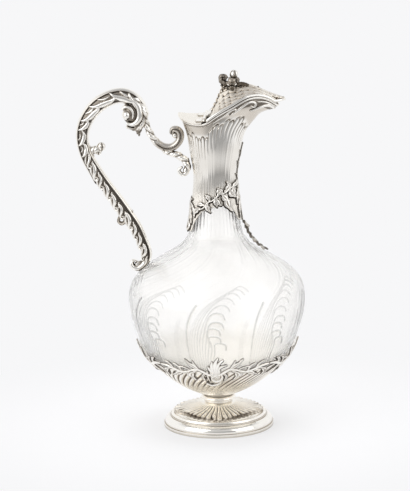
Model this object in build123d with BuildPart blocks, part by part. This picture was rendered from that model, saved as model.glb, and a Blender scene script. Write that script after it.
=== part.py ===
from build123d import *
import math
import os

# Cut crystal ewer with silver mounts, in millimetres. The origin is the centre of the foot's
# underside, +Z is up and +X points to the spout, so the handle is on the -X side.

# Foot and stem
foot_radius = 45.4
foot_band_height = 2.6
foot_ring_height = 9.5
foot_step_radius = 39.7
foot_wall = 1.4
skirt_height = 10.5
skirt_flute_count = 32
skirt_flute_depth = 0.7
skirt_flute_lift = 0.25
knop_radius = 14.4
knop_neck_radius = 11.2
knop_height = 6.2
knop_top_land = 0.4
stud_radius = 3.0
stud_clearance = 0.1
nut_across_flats = 10.0
nut_height = 4.0
washer_radius = 8.5
washer_thickness = 1.0
stud_end_reach = 1.5
stud_chamfer = 0.5

# Glass body
body_radius = 72.4
belly_height = 81.6
shoulder_height = 60.5
base_flat_radius = 12.0
neck_root_radius = 20.6
neck_glass_radius = 16.4
neck_glass_height = 59.0
space_over_glass = 5.0
glass_wall = 4.0
glass_base_thickness = 9.0

# Silver base cup and its border
cup_wall = 1.0
cup_bed = 0.6
cup_edge_rise = 33.5
border_rise = 47.0
border_thickness = 1.7
border_joint = 0.15
seat_gap = 0.05

# Neck mount
neck_bed = 0.4
sheath_wall = 1.0
mouth_front = 55.0
mouth_rear = 27.0
mouth_half_width = 23.1
mouth_point = 0.5
flare_height = 55.0
rim_drop = 3.0
rim_out = 1.5
mount_reach = 43.0
mount_end_margin = 5.0
ornament_thickness = 1.3

# Lid and hinge
saddle_rise = 40.9
crest_rise = 61.5
lid_gap = 0.35
lid_edge_height = 2.1
lid_edge_width = 3.6
lid_wall = 1.1
lid_reach = 58.3
beak_rise = 2.0
beak_drop = 0.4
lid_crown_height = 13.0
hinge_setback = 7.0
hinge_lift = 2.3
knuckle_radius = 1.6
pin_radius = 0.8
pin_clearance = 0.05
knuckle_gap = 0.2
hinge_half_length = 21.0
hinge_leaf_reach = 5.0
hinge_leaf_thickness = 0.9
pin_end_reach = 0.3
pin_head_radius = 1.3
pin_head_out = 1.0
lid_knuckle_half_length = 9.0
lid_back_gap = 0.5
lid_strip_width = 3.0
lid_inset = 1.0
rear_cover_thickness = 1.2
rear_cover_overhang = 0.7
finial_bud_radius = 3.4
finial_pin_radius = 1.5
finial_nut_height = 1.6
finial_nut_across_flats = 6.0
finial_x = 15.0
finial_cap_radius = 5.2
finial_cap_height = 3.6
finial_cap_gap = 0.6
finial_pin_reach = 3.6

# Handle
handle_width = 5.0

cup_floor = foot_ring_height + skirt_height + knop_height
glass_floor = cup_floor + cup_wall + cup_bed + 2 * seat_gap
belly_level = glass_floor + belly_height
neck_root_level = belly_level + shoulder_height
glass_top = neck_root_level + neck_glass_height
waist_level = neck_root_level + 45.0
mouth_cut_height = 60.0
waist_radius = neck_glass_radius + neck_bed + 2 * seat_gap + sheath_wall

os.makedirs("parts", exist_ok=True)


def finish(piece, name):
    """Label one finished piece and write it."""
    piece.part.label = name
    export_step(piece.part, f"parts/{name}.step")


# Outline of the glass, from the edge of its flat bottom to the top of its neck. Each pair is
# a share of the way between two radii and a share of the height of that stretch.
belly_shape = [(0.125, 0.040), (0.326, 0.119), (0.487, 0.209), (0.667, 0.332), (0.805, 0.467),
               (0.914, 0.663), (0.982, 0.835), (1.0, 1.0)]
shoulder_shape = [(0.961, 0.174), (0.828, 0.339), (0.618, 0.471), (0.390, 0.587),
                  (0.180, 0.702), (0.052, 0.835), (0.0, 1.0)]
neck_shape = [(0.476, 0.254), (0.048, 0.508), (0.0, 0.763), (0.0, 1.0)]


def glass_outline():
    """Outer line of the glass as (radius, height) points."""
    points = [(base_flat_radius, glass_floor)]
    for out, up in belly_shape:
        radius = base_flat_radius + out * (body_radius - base_flat_radius)
        points.append((radius, glass_floor + up * belly_height))
    for out, up in shoulder_shape:
        radius = neck_root_radius + out * (body_radius - neck_root_radius)
        points.append((radius, belly_level + up * shoulder_height))
    for out, up in neck_shape:
        radius = neck_glass_radius + out * (neck_root_radius - neck_glass_radius)
        points.append((radius, neck_root_level + up * neck_glass_height))
    return points


def moved_outline(points, distances):
    """Move each point along its own normal, to the right of the way the outline runs."""
    moved = []
    for index, (across, up) in enumerate(points):
        before = points[max(index - 1, 0)]
        after = points[min(index + 1, len(points) - 1)]
        run = after[0] - before[0]
        rise = after[1] - before[1]
        length = math.hypot(run, rise)
        step = distances[index]
        moved.append((across + step * rise / length, up - step * run / length))
    return moved


outline = glass_outline()


def outline_at(distance):
    """Glass outline moved out by one distance, starting level with its own flat bottom."""
    moved = moved_outline(outline, [distance] * len(outline))
    moved[0] = (base_flat_radius + 0.4 * distance, glass_floor - distance)
    return moved


def glass_radius(level):
    """Outer radius of the glass at a height on its shoulder or neck."""
    points = outline[len(belly_shape):]
    for (low_radius, low), (high_radius, high) in zip(points, points[1:]):
        if low <= level <= high:
            return low_radius + (high_radius - low_radius) * (level - low) / (high - low)
    return points[-1][0]


def shell_between(inner_distance, outer_distance):
    """Sketch the wall between two moved glass outlines, closed at the neck and the axis."""
    inner = outline_at(inner_distance)
    outer = outline_at(outer_distance)
    with BuildSketch(Plane.XZ) as wall:
        with BuildLine():
            Polyline((0, inner[0][1]), (0, outer[0][1]), outer[0])
            Spline(*outer)
            Line(outer[-1], inner[-1])
            Spline(*reversed(inner))
            Line(inner[0], (0, inner[0][1]))
        make_face()
    return wall


# Glass body, one blown and cut piece
def glass_wall_at(index):
    """Wall thickness at an outline point: heavy at the base, even from the border upwards."""
    share = (outline[index][1] - glass_floor) / (cup_edge_rise * 1.2)
    return glass_wall + (glass_base_thickness - glass_wall) * max(0.0, 1.0 - share) ** 1.5


inside = moved_outline(outline, [-glass_wall_at(index) for index in range(len(outline))])
inside[0] = (base_flat_radius, glass_floor + glass_base_thickness)
with BuildPart() as glass_body:
    with BuildSketch(Plane.XZ):
        with BuildLine():
            Polyline((0, inside[0][1]), (0, glass_floor), outline[0])
            Spline(*outline)
            Line(outline[-1], inside[-1])
            Spline(*reversed(inside))
            Line(inside[0], (0, inside[0][1]))
        make_face()
    revolve(axis=Axis.Z)
finish(glass_body, "glass_body")

# Silver base cup with the plaster bed that holds the glass in it
cup_edge = cup_floor + cup_edge_rise
cup_outside = cup_bed + cup_wall + 2 * seat_gap
with BuildPart() as base_cup:
    shell_sketch = shell_between(cup_bed + 2 * seat_gap, cup_outside)
    revolve(shell_sketch.sketch, axis=Axis.Z)
    split(bisect_by=Plane.XY.offset(cup_edge), keep=Keep.BOTTOM)
finish(base_cup, "base_cup")

with BuildPart() as base_plaster_bed:
    bed_sketch = shell_between(seat_gap, seat_gap + cup_bed)
    revolve(bed_sketch.sketch, axis=Axis.Z)
    split(bisect_by=Plane.XY.offset(cup_edge - cup_wall), keep=Keep.BOTTOM)
finish(base_plaster_bed, "base_plaster_bed")


# Foliage helpers: every leaf and stem is a flat outline that a wall of the right thickness trims
def leaf(start, angle, length, width):
    """Draw a pointed leaf from its start towards an angle in degrees."""
    turn = math.radians(angle)
    along = (math.cos(turn), math.sin(turn))
    side = (-along[1], along[0])
    tip = (start[0] + length * along[0], start[1] + length * along[1])
    middle = (start[0] + 0.45 * length * along[0], start[1] + 0.45 * length * along[1])
    left = (middle[0] + width / 2 * side[0], middle[1] + width / 2 * side[1])
    right = (middle[0] - width / 2 * side[0], middle[1] - width / 2 * side[1])
    with BuildSketch() as shape:
        with BuildLine():
            ThreePointArc(start, left, tip)
            ThreePointArc(tip, right, start)
        make_face()
    return shape.sketch


def stem(points, width):
    """Draw a stem of even width along a line of points."""
    right = moved_outline(points, [width / 2] * len(points))
    left = moved_outline(points, [-width / 2] * len(points))
    with BuildSketch() as shape:
        with BuildLine():
            Spline(*right)
            Line(right[-1], left[-1])
            Spline(*reversed(left))
            Line(left[0], right[0])
        make_face()
    return shape.sketch


# Border of the cup: four castings, each a cartouche between two leafy branches
# Leaves of one branch: place along it, height over the cup's edge, angle from upright, size
border_leaves = [(12.0, 0.0, 48, 13.5, 5.4), (21.0, -1.0, 26, 9.5, 4.6), (30.0, -1.5, 55, 11.0, 4.8),
                 (10.0, -1.5, 152, 12.0, 6.4), (18.5, -1.5, 160, 13.5, 7.0),
                 (27.0, -2.5, 156, 11.5, 6.2), (34.5, -1.0, 146, 9.0, 5.2)]
border_floor = cup_outside + seat_gap
border_reach = cup_floor + border_rise
with BuildPart() as border_pattern:
    border_sketch = shell_between(border_floor, border_floor + border_thickness)
    revolve(border_sketch.sketch, axis=Axis.Z)
    with BuildSketch(Plane.XZ):
        with Locations((0, cup_edge - 5.5)):
            Ellipse(6.5, 9.5)
        for fan_angle in (50, 70, 90, 110, 130):
            add(leaf((0, cup_edge - 1.0), fan_angle, border_reach - cup_edge + 1.0, 4.6))
        with Locations((0, cup_edge - 15.5)):
            Ellipse(5.0, 4.2)
        for side in (-1, 1):
            add(stem([(side * 4.5, cup_edge - 5.0), (side * 15.0, cup_edge + 0.5),
                      (side * 27.0, cup_edge - 2.5), (side * 40.6, cup_edge + 1.8)], 4.2))
            for along, up, angle, length, width in border_leaves:
                add(leaf((side * along, cup_edge + up), 90 - side * angle, length, width))
    extrude(amount=body_radius + border_thickness, mode=Mode.INTERSECT)
    for corner in (45, -45):
        cut_plane = Plane(origin=(0, -border_joint, 0), x_dir=(0, 0, 1),
                          z_dir=(math.cos(math.radians(corner)), math.sin(math.radians(corner)), 0))
        split(bisect_by=cut_plane, keep=Keep.BOTTOM if corner > 0 else Keep.TOP)

for quarter, place in enumerate(("front", "right", "back", "left")):
    with BuildPart() as cup_border:
        add(border_pattern.part.rotate(Axis.Z, 90 * quarter))
    finish(cup_border, f"cup_border_{place}")

# Foot: a moulded base ring, a fluted skirt and a turned knop, drawn together by a stud and nut
skirt_floor = foot_ring_height
skirt_top = skirt_floor + skirt_height
with BuildPart() as foot_base_ring:
    ovolo_start = (foot_radius - 0.9, foot_band_height + 0.5)
    ovolo_end = (foot_step_radius + 0.8, foot_ring_height - 1.0)
    ovolo_middle = (foot_radius - 1.7, foot_band_height + 3.9)
    with BuildSketch(Plane.XZ):
        with BuildLine():
            Polyline((foot_radius - foot_wall * 2, 0), (foot_radius, 0), (foot_radius, foot_band_height))
            Polyline((foot_radius, foot_band_height), (foot_radius - 0.9, foot_band_height), ovolo_start)
            ThreePointArc(ovolo_start, ovolo_middle, ovolo_end)
            Polyline(ovolo_end, (foot_step_radius, foot_ring_height - 1.0),
                     (foot_step_radius, foot_ring_height),
                     (foot_step_radius - 3 * foot_wall, foot_ring_height),
                     (foot_step_radius - 3 * foot_wall, foot_ring_height - foot_wall),
                     (foot_step_radius - foot_wall, foot_ring_height - 2.0 * foot_wall),
                     (foot_radius - foot_wall * 2.6, foot_band_height),
                     (foot_radius - foot_wall * 2, 0))
        make_face()
    revolve(axis=Axis.Z)
finish(foot_base_ring, "foot_base_ring")

# Skirt outline from its foot up to the stem: shares of the reach and of the height
skirt_shape = [(1.0, 0.0), (0.99, 0.10), (0.925, 0.35), (0.765, 0.50), (0.48, 0.62),
               (0.20, 0.76), (0.0, 1.0)]
skirt_reach = foot_step_radius - 0.4 - knop_neck_radius
skirt_outline = [(knop_neck_radius + out * skirt_reach, skirt_floor + up * skirt_height)
                 for out, up in skirt_shape]
skirt_inside = moved_outline(skirt_outline, [-foot_wall] * len(skirt_outline))
skirt_inside[0] = (skirt_outline[0][0] - foot_wall, skirt_floor)
skirt_inside[-1] = (knop_neck_radius - foot_wall, skirt_top - foot_wall)
stud_hole_radius = stud_radius + stud_clearance
with BuildPart() as foot_skirt:
    with BuildSketch(Plane.XZ):
        with BuildLine():
            Spline(*skirt_outline)
            Polyline(skirt_outline[-1], (stud_hole_radius, skirt_top),
                     (stud_hole_radius, skirt_top - foot_wall), skirt_inside[-1])
            Spline(*reversed(skirt_inside))
            Line(skirt_inside[0], skirt_outline[0])
        make_face()
    revolve(axis=Axis.Z)
    flute_start = skirt_outline[4]
    flute_end = skirt_outline[2]
    flute_run = flute_end[0] - flute_start[0]
    flute_drop = flute_start[1] - flute_end[1]
    flute_slope = math.degrees(math.atan2(flute_drop, flute_run))
    flute_width = 0.36 * 2 * math.pi * flute_end[0] / skirt_flute_count
    flute_half_length = math.hypot(flute_run, flute_drop) / 2
    with PolarLocations((flute_start[0] + flute_end[0]) / 2, skirt_flute_count):
        with Locations(Location((0, 0, (flute_start[1] + flute_end[1]) / 2 + flute_width
                                 - skirt_flute_depth + skirt_flute_lift),
                                (0, flute_slope, 0))):
            Cylinder(flute_width, 2 * flute_half_length, rotation=(0, 90, 0), mode=Mode.SUBTRACT)
finish(foot_skirt, "foot_skirt")

with BuildPart() as foot_knop:
    knop_waist_top = skirt_top + 0.30 * knop_height
    knop_middle = skirt_top + 0.55 * knop_height
    knop_top_start = (base_flat_radius, cup_floor - knop_top_land)
    with BuildSketch(Plane.XZ):
        with BuildLine():
            Polyline((stud_hole_radius, cup_floor), (stud_hole_radius, skirt_top),
                     (knop_neck_radius, skirt_top), (knop_neck_radius, knop_waist_top))
            Spline((knop_neck_radius, knop_waist_top), (knop_radius, knop_middle), knop_top_start)
            Polyline(knop_top_start, (base_flat_radius, cup_floor), (stud_hole_radius, cup_floor))
        make_face()
    revolve(axis=Axis.Z)
finish(foot_knop, "foot_knop")

washer_level = skirt_top - foot_wall - washer_thickness
nut_level = washer_level - nut_height
with BuildPart() as cup_stud:
    with BuildSketch(Plane.XY.offset(nut_level - stud_end_reach)):
        Circle(stud_radius)
    extrude(amount=cup_floor - nut_level + stud_end_reach)
    chamfer(cup_stud.edges().sort_by(Axis.Z)[0], stud_chamfer)
finish(cup_stud, "cup_stud")

with BuildPart() as foot_washer:
    with BuildSketch(Plane.XY.offset(washer_level)):
        Circle(washer_radius)
        Circle(stud_hole_radius, mode=Mode.SUBTRACT)
    extrude(amount=washer_thickness)
finish(foot_washer, "foot_washer")

with BuildPart() as foot_nut:
    with BuildSketch(Plane.XY.offset(nut_level)):
        RegularPolygon(nut_across_flats / 2, 6, major_radius=False)
        Circle(stud_hole_radius, mode=Mode.SUBTRACT)
    extrude(amount=nut_height)
finish(foot_nut, "foot_nut")

# Neck mount: round over the glass, then drawn out into an egg-shaped mouth with a low spout.
# Each station is a share of the flare height, then shares of the growth to the front, the
# rear and the sides of the mouth.
flare_stations = [(0.327, 0.10, 0.326, 0.56), (0.545, 0.19, 0.52, 0.80), (0.655, 0.29, 0.74, 0.88),
                  (0.745, 0.405, 0.913, 0.94), (0.827, 0.515, 1.0, 0.97), (0.882, 0.69, 1.0, 0.99),
                  (0.936, 0.885, 1.01, 1.0), (1.0, 1.0, 1.02, 1.0), (1.11, 1.03, 1.03, 1.0),
                  (1.24, 1.04, 1.04, 1.0)]
sheath_levels = [neck_root_level - 9.0, neck_root_level, neck_root_level + 15.0,
                 neck_root_level + 30.0, waist_level]
mouth_outline_points = 24


def mouth_outline(rear, front, half_width, point, grow):
    """Egg-shaped outline seen from above: blunt at the rear, narrow at the spout."""
    centre = (front - rear) / 2
    half_length = (front + rear) / 2 + grow
    corners = []
    for index in range(mouth_outline_points):
        turn = 2 * math.pi * index / mouth_outline_points
        side = (half_width + grow) * math.sin(turn) * (1 - point * math.cos(turn))
        corners.append((centre + half_length * math.cos(turn), side))
    return corners


def closed_ring(plane, points):
    """Face inside a smooth closed line through points on a plane."""
    with BuildSketch(plane) as ring:
        with BuildLine():
            Spline(*points, periodic=True)
        make_face()
    return ring.sketch.face()


def neck_skin(grow, mode=Mode.ADD):
    """Loft the outside of the neck mount, grown outwards by a distance."""
    stations = []
    for level in sheath_levels:
        radius = glass_radius(level) + neck_bed + 2 * seat_gap + sheath_wall
        stations.append((level, mouth_outline(radius, radius, radius, 0.0, grow)))
    for up, front, rear, side in flare_stations:
        ring = mouth_outline(waist_radius + rear * (mouth_rear - waist_radius),
                             waist_radius + front * (mouth_front - waist_radius),
                             waist_radius + side * (mouth_half_width - waist_radius),
                             mouth_point * min(front, 1.0) ** 0.8, grow)
        stations.append((waist_level + up * flare_height, ring))
    rings = [closed_ring(Plane.XY.offset(level), ring) for level, ring in stations]
    loft(rings, mode=mode)


# Line of the rim seen from the side: shares of the mouth's length and of the rise from the
# saddle behind the hinge to the crest before the spout
saddle_level = waist_level + saddle_rise
crest_level = waist_level + crest_rise
rim_shape = [(-0.06, 0.30), (0.04, 0.075), (0.13, 0.01), (0.20, 0.0), (0.244, 0.02), (0.31, 0.17),
             (0.42, 0.45), (0.54, 0.70), (0.65, 0.93), (0.755, 1.0), (0.85, 0.91), (0.94, 0.66),
             (0.985, 0.42), (1.01, 0.20)]
rim_line = [(-mouth_rear + along * (mouth_front + mouth_rear),
             saddle_level + up * (crest_level - saddle_level)) for along, up in rim_shape]


def rim_band(low, high):
    """Keep only what lies between two heights above the rim line, as an S-shaped slab."""
    lower = moved_outline(rim_line, [-low] * len(rim_line))
    upper = moved_outline(rim_line, [-high] * len(rim_line))
    with BuildSketch(Plane.XZ) as slab:
        with BuildLine():
            Spline(*lower)
            Line(lower[-1], upper[-1])
            Spline(*reversed(upper))
            Line(upper[0], lower[0])
        make_face()
    extrude(slab.sketch, amount=mount_reach, both=True, mode=Mode.INTERSECT)


# Lower edge of the mount seen from the side: down to a drape at the handle and one at the spout
sheath_edge = [(-26.0, 5.5), (-20.5, 5.5), (-17.5, 12.0), (-13.0, 19.5), (-8.7, 24.0), (-3.0, 26.0),
               (4.0, 27.5), (9.0, 27.5), (14.0, 25.0), (18.0, 19.0), (21.0, 13.5), (26.0, 12.5)]
edge_datum = neck_root_level - 10.0
edge_line = [(across, edge_datum + up) for across, up in sheath_edge]


def glass_space(distance):
    """Solid space of the glass's outside, grown by a distance, up to above its neck."""
    line = outline_at(distance)
    with BuildSketch(Plane.XZ) as half:
        with BuildLine():
            Polyline(line[-1], (line[-1][0], glass_top + space_over_glass),
                     (0, glass_top + space_over_glass), (0, line[0][1]), line[0])
            Spline(*line)
        make_face()
    return revolve(half.sketch, axis=Axis.Z, mode=Mode.PRIVATE)


glass_clear = glass_space(seat_gap)
with BuildPart() as neck_sheath:
    neck_skin(0.0)
    neck_skin(-sheath_wall, Mode.SUBTRACT)
    add(glass_clear, mode=Mode.SUBTRACT)
    with BuildSketch(Plane.XZ):
        with BuildLine():
            Spline(*edge_line)
            Polyline(edge_line[-1], (rim_line[-1][0] + mount_end_margin, edge_line[-1][1]), rim_line[-1])
            Spline(*reversed(rim_line))
            Polyline(rim_line[0], (rim_line[0][0] - mount_end_margin, edge_line[0][1]), edge_line[0])
        make_face()
    extrude(amount=mount_reach, both=True, mode=Mode.INTERSECT)
finish(neck_sheath, "neck_sheath")

bed_low = neck_root_level + 21.0
with BuildPart() as neck_plaster_sleeve:
    neck_skin(-sheath_wall - seat_gap)
    with BuildSketch(Plane.XY.offset(bed_low)) as keep_height:
        Circle(2 * neck_root_radius)
    extrude(amount=glass_top - bed_low - 2.0, mode=Mode.INTERSECT)
    add(glass_clear, mode=Mode.SUBTRACT)
finish(neck_plaster_sleeve, "neck_plaster_sleeve")

with BuildPart() as rim_moulding:
    neck_skin(rim_out)
    neck_skin(seat_gap, Mode.SUBTRACT)
    rim_band(-rim_drop, 0.0)
finish(rim_moulding, "rim_moulding")

# Fixed cover over the rear of the mouth, behind the hinge
hinge_x = -hinge_setback
hinge_z = rim_line[4][1] + hinge_lift
with BuildPart() as rear_cover:
    neck_skin(rim_out + rear_cover_overhang)
    rim_band(0.0, rear_cover_thickness)
    split(bisect_by=Plane.YZ.offset(hinge_x - knuckle_radius - lid_back_gap), keep=Keep.BOTTOM)
finish(rear_cover, "rear_cover")


# Hinge: three knuckles on one pin, with the middle knuckle on the lid
def barrel(from_y, to_y):
    """Draw one knuckle's barrel with its pin hole, between two places across the ewer."""
    with BuildSketch(Plane.XZ.offset(-to_y)) as section:
        with Locations((hinge_x, hinge_z)):
            Circle(knuckle_radius)
    extrude(section.sketch, amount=to_y - from_y)


def pin_hole():
    """Bore the pin hole through the piece in hand."""
    with BuildSketch(Plane.XZ) as section:
        with Locations((hinge_x, hinge_z)):
            Circle(pin_radius + pin_clearance)
    extrude(section.sketch, amount=mount_reach, both=True, mode=Mode.SUBTRACT)


fixed_inner = lid_knuckle_half_length + knuckle_gap
for place, from_y, to_y in (("front", -hinge_half_length, -fixed_inner),
                            ("back", fixed_inner, hinge_half_length)):
    with BuildPart() as hinge_knuckle:
        leaf_centre = (hinge_x - (hinge_leaf_reach + knuckle_radius) / 2, (from_y + to_y) / 2)
        with BuildSketch(Plane.XY.offset(hinge_z - hinge_leaf_reach)):
            with Locations(leaf_centre):
                Rectangle(hinge_leaf_reach + knuckle_radius, to_y - from_y)
        extrude(amount=2 * hinge_leaf_reach)
        rim_band(rear_cover_thickness, rear_cover_thickness + hinge_leaf_thickness)
        barrel(from_y, to_y)
        pin_hole()
    finish(hinge_knuckle, f"hinge_knuckle_{place}")

with BuildPart() as hinge_pin:
    with BuildSketch(Plane.XZ.offset(-hinge_half_length - pin_end_reach)):
        with Locations((hinge_x, hinge_z)):
            Circle(pin_radius)
    extrude(amount=2 * (hinge_half_length + pin_end_reach))
    for side in (-1, 1):
        with Locations((hinge_x, side * (hinge_half_length + pin_end_reach + pin_head_out), hinge_z)):
            Sphere(pin_head_radius)
finish(hinge_pin, "hinge_pin")

# Lid: an edge moulding that follows the rim, and a raised dome on it
lid_back = hinge_x + knuckle_radius + lid_back_gap
lid_top_line = moved_outline(rim_line, [-(lid_gap + lid_edge_height)] * len(rim_line))
lid_low_line = moved_outline(rim_line, [-lid_gap] * len(rim_line))
beak_index = 12
beak_top = lid_top_line[beak_index - 1][1] + beak_rise
beak_low = lid_low_line[beak_index - 1][1] - beak_drop
beak_end = lid_reach + 2.0


def lid_plan(grow, front):
    """Lid's outline seen from above, on a plane below the rim."""
    plan = mouth_outline(mouth_rear, front, mouth_half_width, mouth_point, grow)
    return closed_ring(Plane.XY.offset(saddle_level - 10), plan)


lid_strip_front = lid_back + lid_strip_width
with BuildPart() as lid_opening:
    extrude(lid_plan(rim_out - lid_edge_width, lid_reach - 3 * rim_out), amount=mouth_cut_height)
    split(bisect_by=Plane.YZ.offset(lid_strip_front), keep=Keep.TOP)

with BuildPart() as lid_edge:
    extrude(lid_plan(rim_out, lid_reach - rim_out), amount=mouth_cut_height)
    add(lid_opening.part, mode=Mode.SUBTRACT)
    with BuildSketch(Plane.XZ):
        with BuildLine():
            Spline(*lid_low_line[:beak_index])
            Polyline(lid_low_line[beak_index - 1], (beak_end, beak_low), (beak_end, beak_top),
                     lid_top_line[beak_index - 2])
            Spline(*reversed(lid_top_line[:beak_index - 1]))
            Line(lid_top_line[0], lid_low_line[0])
        make_face()
    extrude(amount=mount_reach, both=True, mode=Mode.INTERSECT)
    split(bisect_by=Plane.YZ.offset(lid_back), keep=Keep.TOP)
finish(lid_edge, "lid_edge")


def above_rim(low):
    """Keep only what lies higher than a height above the rim line."""
    lower = moved_outline(rim_line, [-low] * len(rim_line))
    ceiling = saddle_level + mouth_cut_height
    with BuildSketch(Plane.XZ) as space:
        with BuildLine():
            Spline(*lower)
            Polyline(lower[-1], (lower[-1][0], ceiling), (lower[0][0], ceiling), lower[0])
        make_face()
    extrude(space.sketch, amount=mount_reach, both=True, mode=Mode.INTERSECT)


def level_on(line, across):
    """Height of a line of points at a place along the ewer."""
    for (low_x, low), (high_x, high) in zip(line, line[1:]):
        if low_x <= across <= high_x:
            return low + (high - low) * (across - low_x) / (high_x - low_x)
    return line[-1][1]


def lid_half_width(across):
    """Half width of the dome's foot at a place along the ewer."""
    centre = (lid_reach - rim_out - mouth_rear) / 2
    half_length = (lid_reach - rim_out + mouth_rear) / 2
    share = min(1.0, (across - centre) / half_length)
    return mouth_half_width * math.sqrt(1 - share * share) * (1 - mouth_point * share) - lid_inset


# Dome of the lid: places along the opening, with the ridge's share of the crown's height
dome_stations = [(0.0, 0.05), (0.05, 0.22), (0.10, 0.52), (0.16, 0.93), (0.25, 1.0), (0.36, 0.80),
                 (0.47, 0.60), (0.60, 0.40), (0.71, 0.22), (0.81, 0.11), (0.90, 0.09), (1.0, 0.06)]
dome_start = lid_strip_front + 0.2
dome_end = mouth_front - 2.5
# Shape of each arch: share of the half width, share of the ridge's height
arch_shape = [(0.70, 0.22), (0.42, 0.50), (0.18, 0.83), (0.0, 1.0)]


def dome_section(across, share, wall):
    """Face across the ewer under one arch of the dome, drawn in by a wall."""
    foot = level_on(lid_top_line, across)
    rise = share * lid_crown_height - wall
    half_width = lid_half_width(across) - wall
    right = [(half_width * out, foot + rise * up) for out, up in arch_shape]
    left = [(-out, up) for out, up in reversed(right[:-1])]
    with BuildSketch(Plane.YZ.offset(across)) as section:
        with BuildLine():
            Spline((half_width, foot), *right, *left, (-half_width, foot))
            Polyline((-half_width, foot), (-half_width, foot - 2), (half_width, foot - 2), (half_width, foot))
        make_face()
    return section.sketch.face()


def dome_loft(start, end, wall, mode=Mode.ADD):
    """Loft the dome between two places, drawn in by a wall."""
    sections = [dome_section(start + along * (end - start), share, wall) for along, share in dome_stations]
    loft(sections, mode=mode)


with BuildPart() as lid_shell:
    dome_loft(dome_start, dome_end, 0.0)
    dome_loft(dome_start + lid_wall, dome_end - lid_wall, lid_wall, Mode.SUBTRACT)
    above_rim(lid_gap + lid_edge_height + seat_gap)
    add(lid_edge.part, mode=Mode.SUBTRACT)
    with BuildSketch(Plane.XY.offset(saddle_level)):
        with Locations((finial_x, 0)):
            Circle(finial_pin_radius + stud_clearance)
    extrude(amount=mouth_cut_height, mode=Mode.SUBTRACT)
finish(lid_shell, "lid_shell")

with BuildPart() as lid_knuckle:
    with BuildSketch(Plane.XY.offset(hinge_z - hinge_leaf_reach)):
        with Locations(((hinge_x + lid_strip_front) / 2, 0)):
            Rectangle(lid_strip_front - hinge_x, 2 * lid_knuckle_half_length)
    extrude(amount=2 * hinge_leaf_reach)
    rim_band(lid_gap + lid_edge_height, lid_gap + lid_edge_height + hinge_leaf_thickness)
    barrel(-lid_knuckle_half_length, lid_knuckle_half_length)
    pin_hole()
finish(lid_knuckle, "lid_knuckle")


# Bars: scrolls, stems and curled leaves are ellipses lofted along a line in one upright plane
def bar(stations):
    """Loft a bar; each station is (x, z, half thickness in the plane, half width across it)."""
    centres = [Vector(x, 0, z) for x, z, thick, wide in stations]
    sections = []
    for index, (x, z, thick, wide) in enumerate(stations):
        before = centres[max(index - 1, 0)]
        after = centres[min(index + 1, len(centres) - 1)]
        with BuildSketch(Plane(origin=(x, 0, z), x_dir=(0, 1, 0), z_dir=after - before)) as section:
            Ellipse(wide, thick)
        sections.append(section.sketch.face())
    return loft(sections, mode=Mode.PRIVATE)


# Finial: a leafy cap on a threaded pin, a bud and curled leaves, held by a nut inside the lid
dome_top = level_on(lid_top_line, finial_x) + lid_crown_height * 0.92
cap_level = dome_top + finial_cap_gap
finial_nut_level = dome_top - lid_wall - finial_pin_reach
with BuildPart() as finial_cap:
    with BuildSketch(Plane.XZ):
        with BuildLine():
            Polyline((finial_x, cap_level + finial_cap_height), (finial_x, finial_nut_level),
                     (finial_x + finial_pin_radius, finial_nut_level),
                     (finial_x + finial_pin_radius, cap_level), (finial_x + finial_cap_radius, cap_level))
            Spline((finial_x + finial_cap_radius, cap_level),
                   (finial_x + 0.88 * finial_cap_radius, cap_level + 0.5 * finial_cap_height),
                   (finial_x + 0.5 * finial_cap_radius, cap_level + 0.9 * finial_cap_height),
                   (finial_x, cap_level + finial_cap_height))
        make_face()
    revolve(axis=Axis((finial_x, 0, 0), (0, 0, 1)))
finish(finial_cap, "finial_cap")

bud_level = cap_level + finial_cap_height + seat_gap
with BuildPart() as finial_bud:
    with BuildSketch(Plane.XZ):
        with BuildLine():
            Polyline((finial_x, bud_level + 2.6 * finial_bud_radius), (finial_x, bud_level),
                     (finial_x + 0.5 * finial_bud_radius, bud_level))
            Spline((finial_x + 0.5 * finial_bud_radius, bud_level),
                   (finial_x + finial_bud_radius, bud_level + 1.0 * finial_bud_radius),
                   (finial_x + 0.7 * finial_bud_radius, bud_level + 2.0 * finial_bud_radius),
                   (finial_x, bud_level + 2.6 * finial_bud_radius))
        make_face()
    revolve(axis=Axis((finial_x, 0, 0), (0, 0, 1)))
finish(finial_bud, "finial_bud")

leaf_stations = [(3.0, 2.4, 0.9, 2.2), (6.0, 4.6, 1.0, 2.8), (9.2, 4.2, 1.0, 2.6), (10.9, 2.2, 1.0, 2.0),
                 (10.4, 0.6, 0.9, 1.3)]
for place, turn, reach in (("front", 90, 0.8), ("right", 180, 0.8), ("back", 270, 0.8), ("left", 0, 1.1)):
    curled = bar([(finial_x - reach * out, cap_level + up, thick, wide)
                  for out, up, thick, wide in leaf_stations])
    with BuildPart() as finial_leaf:
        add(curled.rotate(Axis((finial_x, 0, 0), (0, 0, 1)), turn))
        add(finial_cap.part, mode=Mode.SUBTRACT)
    finish(finial_leaf, f"finial_leaf_{place}")

with BuildPart() as finial_nut:
    with BuildSketch(Plane.XY.offset(finial_nut_level)):
        with Locations((finial_x, 0)):
            RegularPolygon(finial_nut_across_flats / 2, 6, major_radius=False)
            Circle(finial_pin_radius + seat_gap, mode=Mode.SUBTRACT)
    extrude(amount=finial_nut_height)
finish(finial_nut, "finial_nut")

# Ornament laid on the neck mount: one thin shell over the mount, which flat outlines trim
with BuildPart() as ornament_shell:
    neck_skin(seat_gap + ornament_thickness)
    neck_skin(seat_gap, Mode.SUBTRACT)
    add(glass_clear, mode=Mode.SUBTRACT)


def ornament(name, plane, reach, shapes):
    """Trim the ornament shell by the shapes drawn on a plane, on that plane's side."""
    with BuildPart() as piece:
        with BuildSketch(plane):
            for shape in shapes:
                add(shape)
        extrude(amount=reach)
        add(ornament_shell.part, mode=Mode.INTERSECT)
    finish(piece, name)


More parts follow.
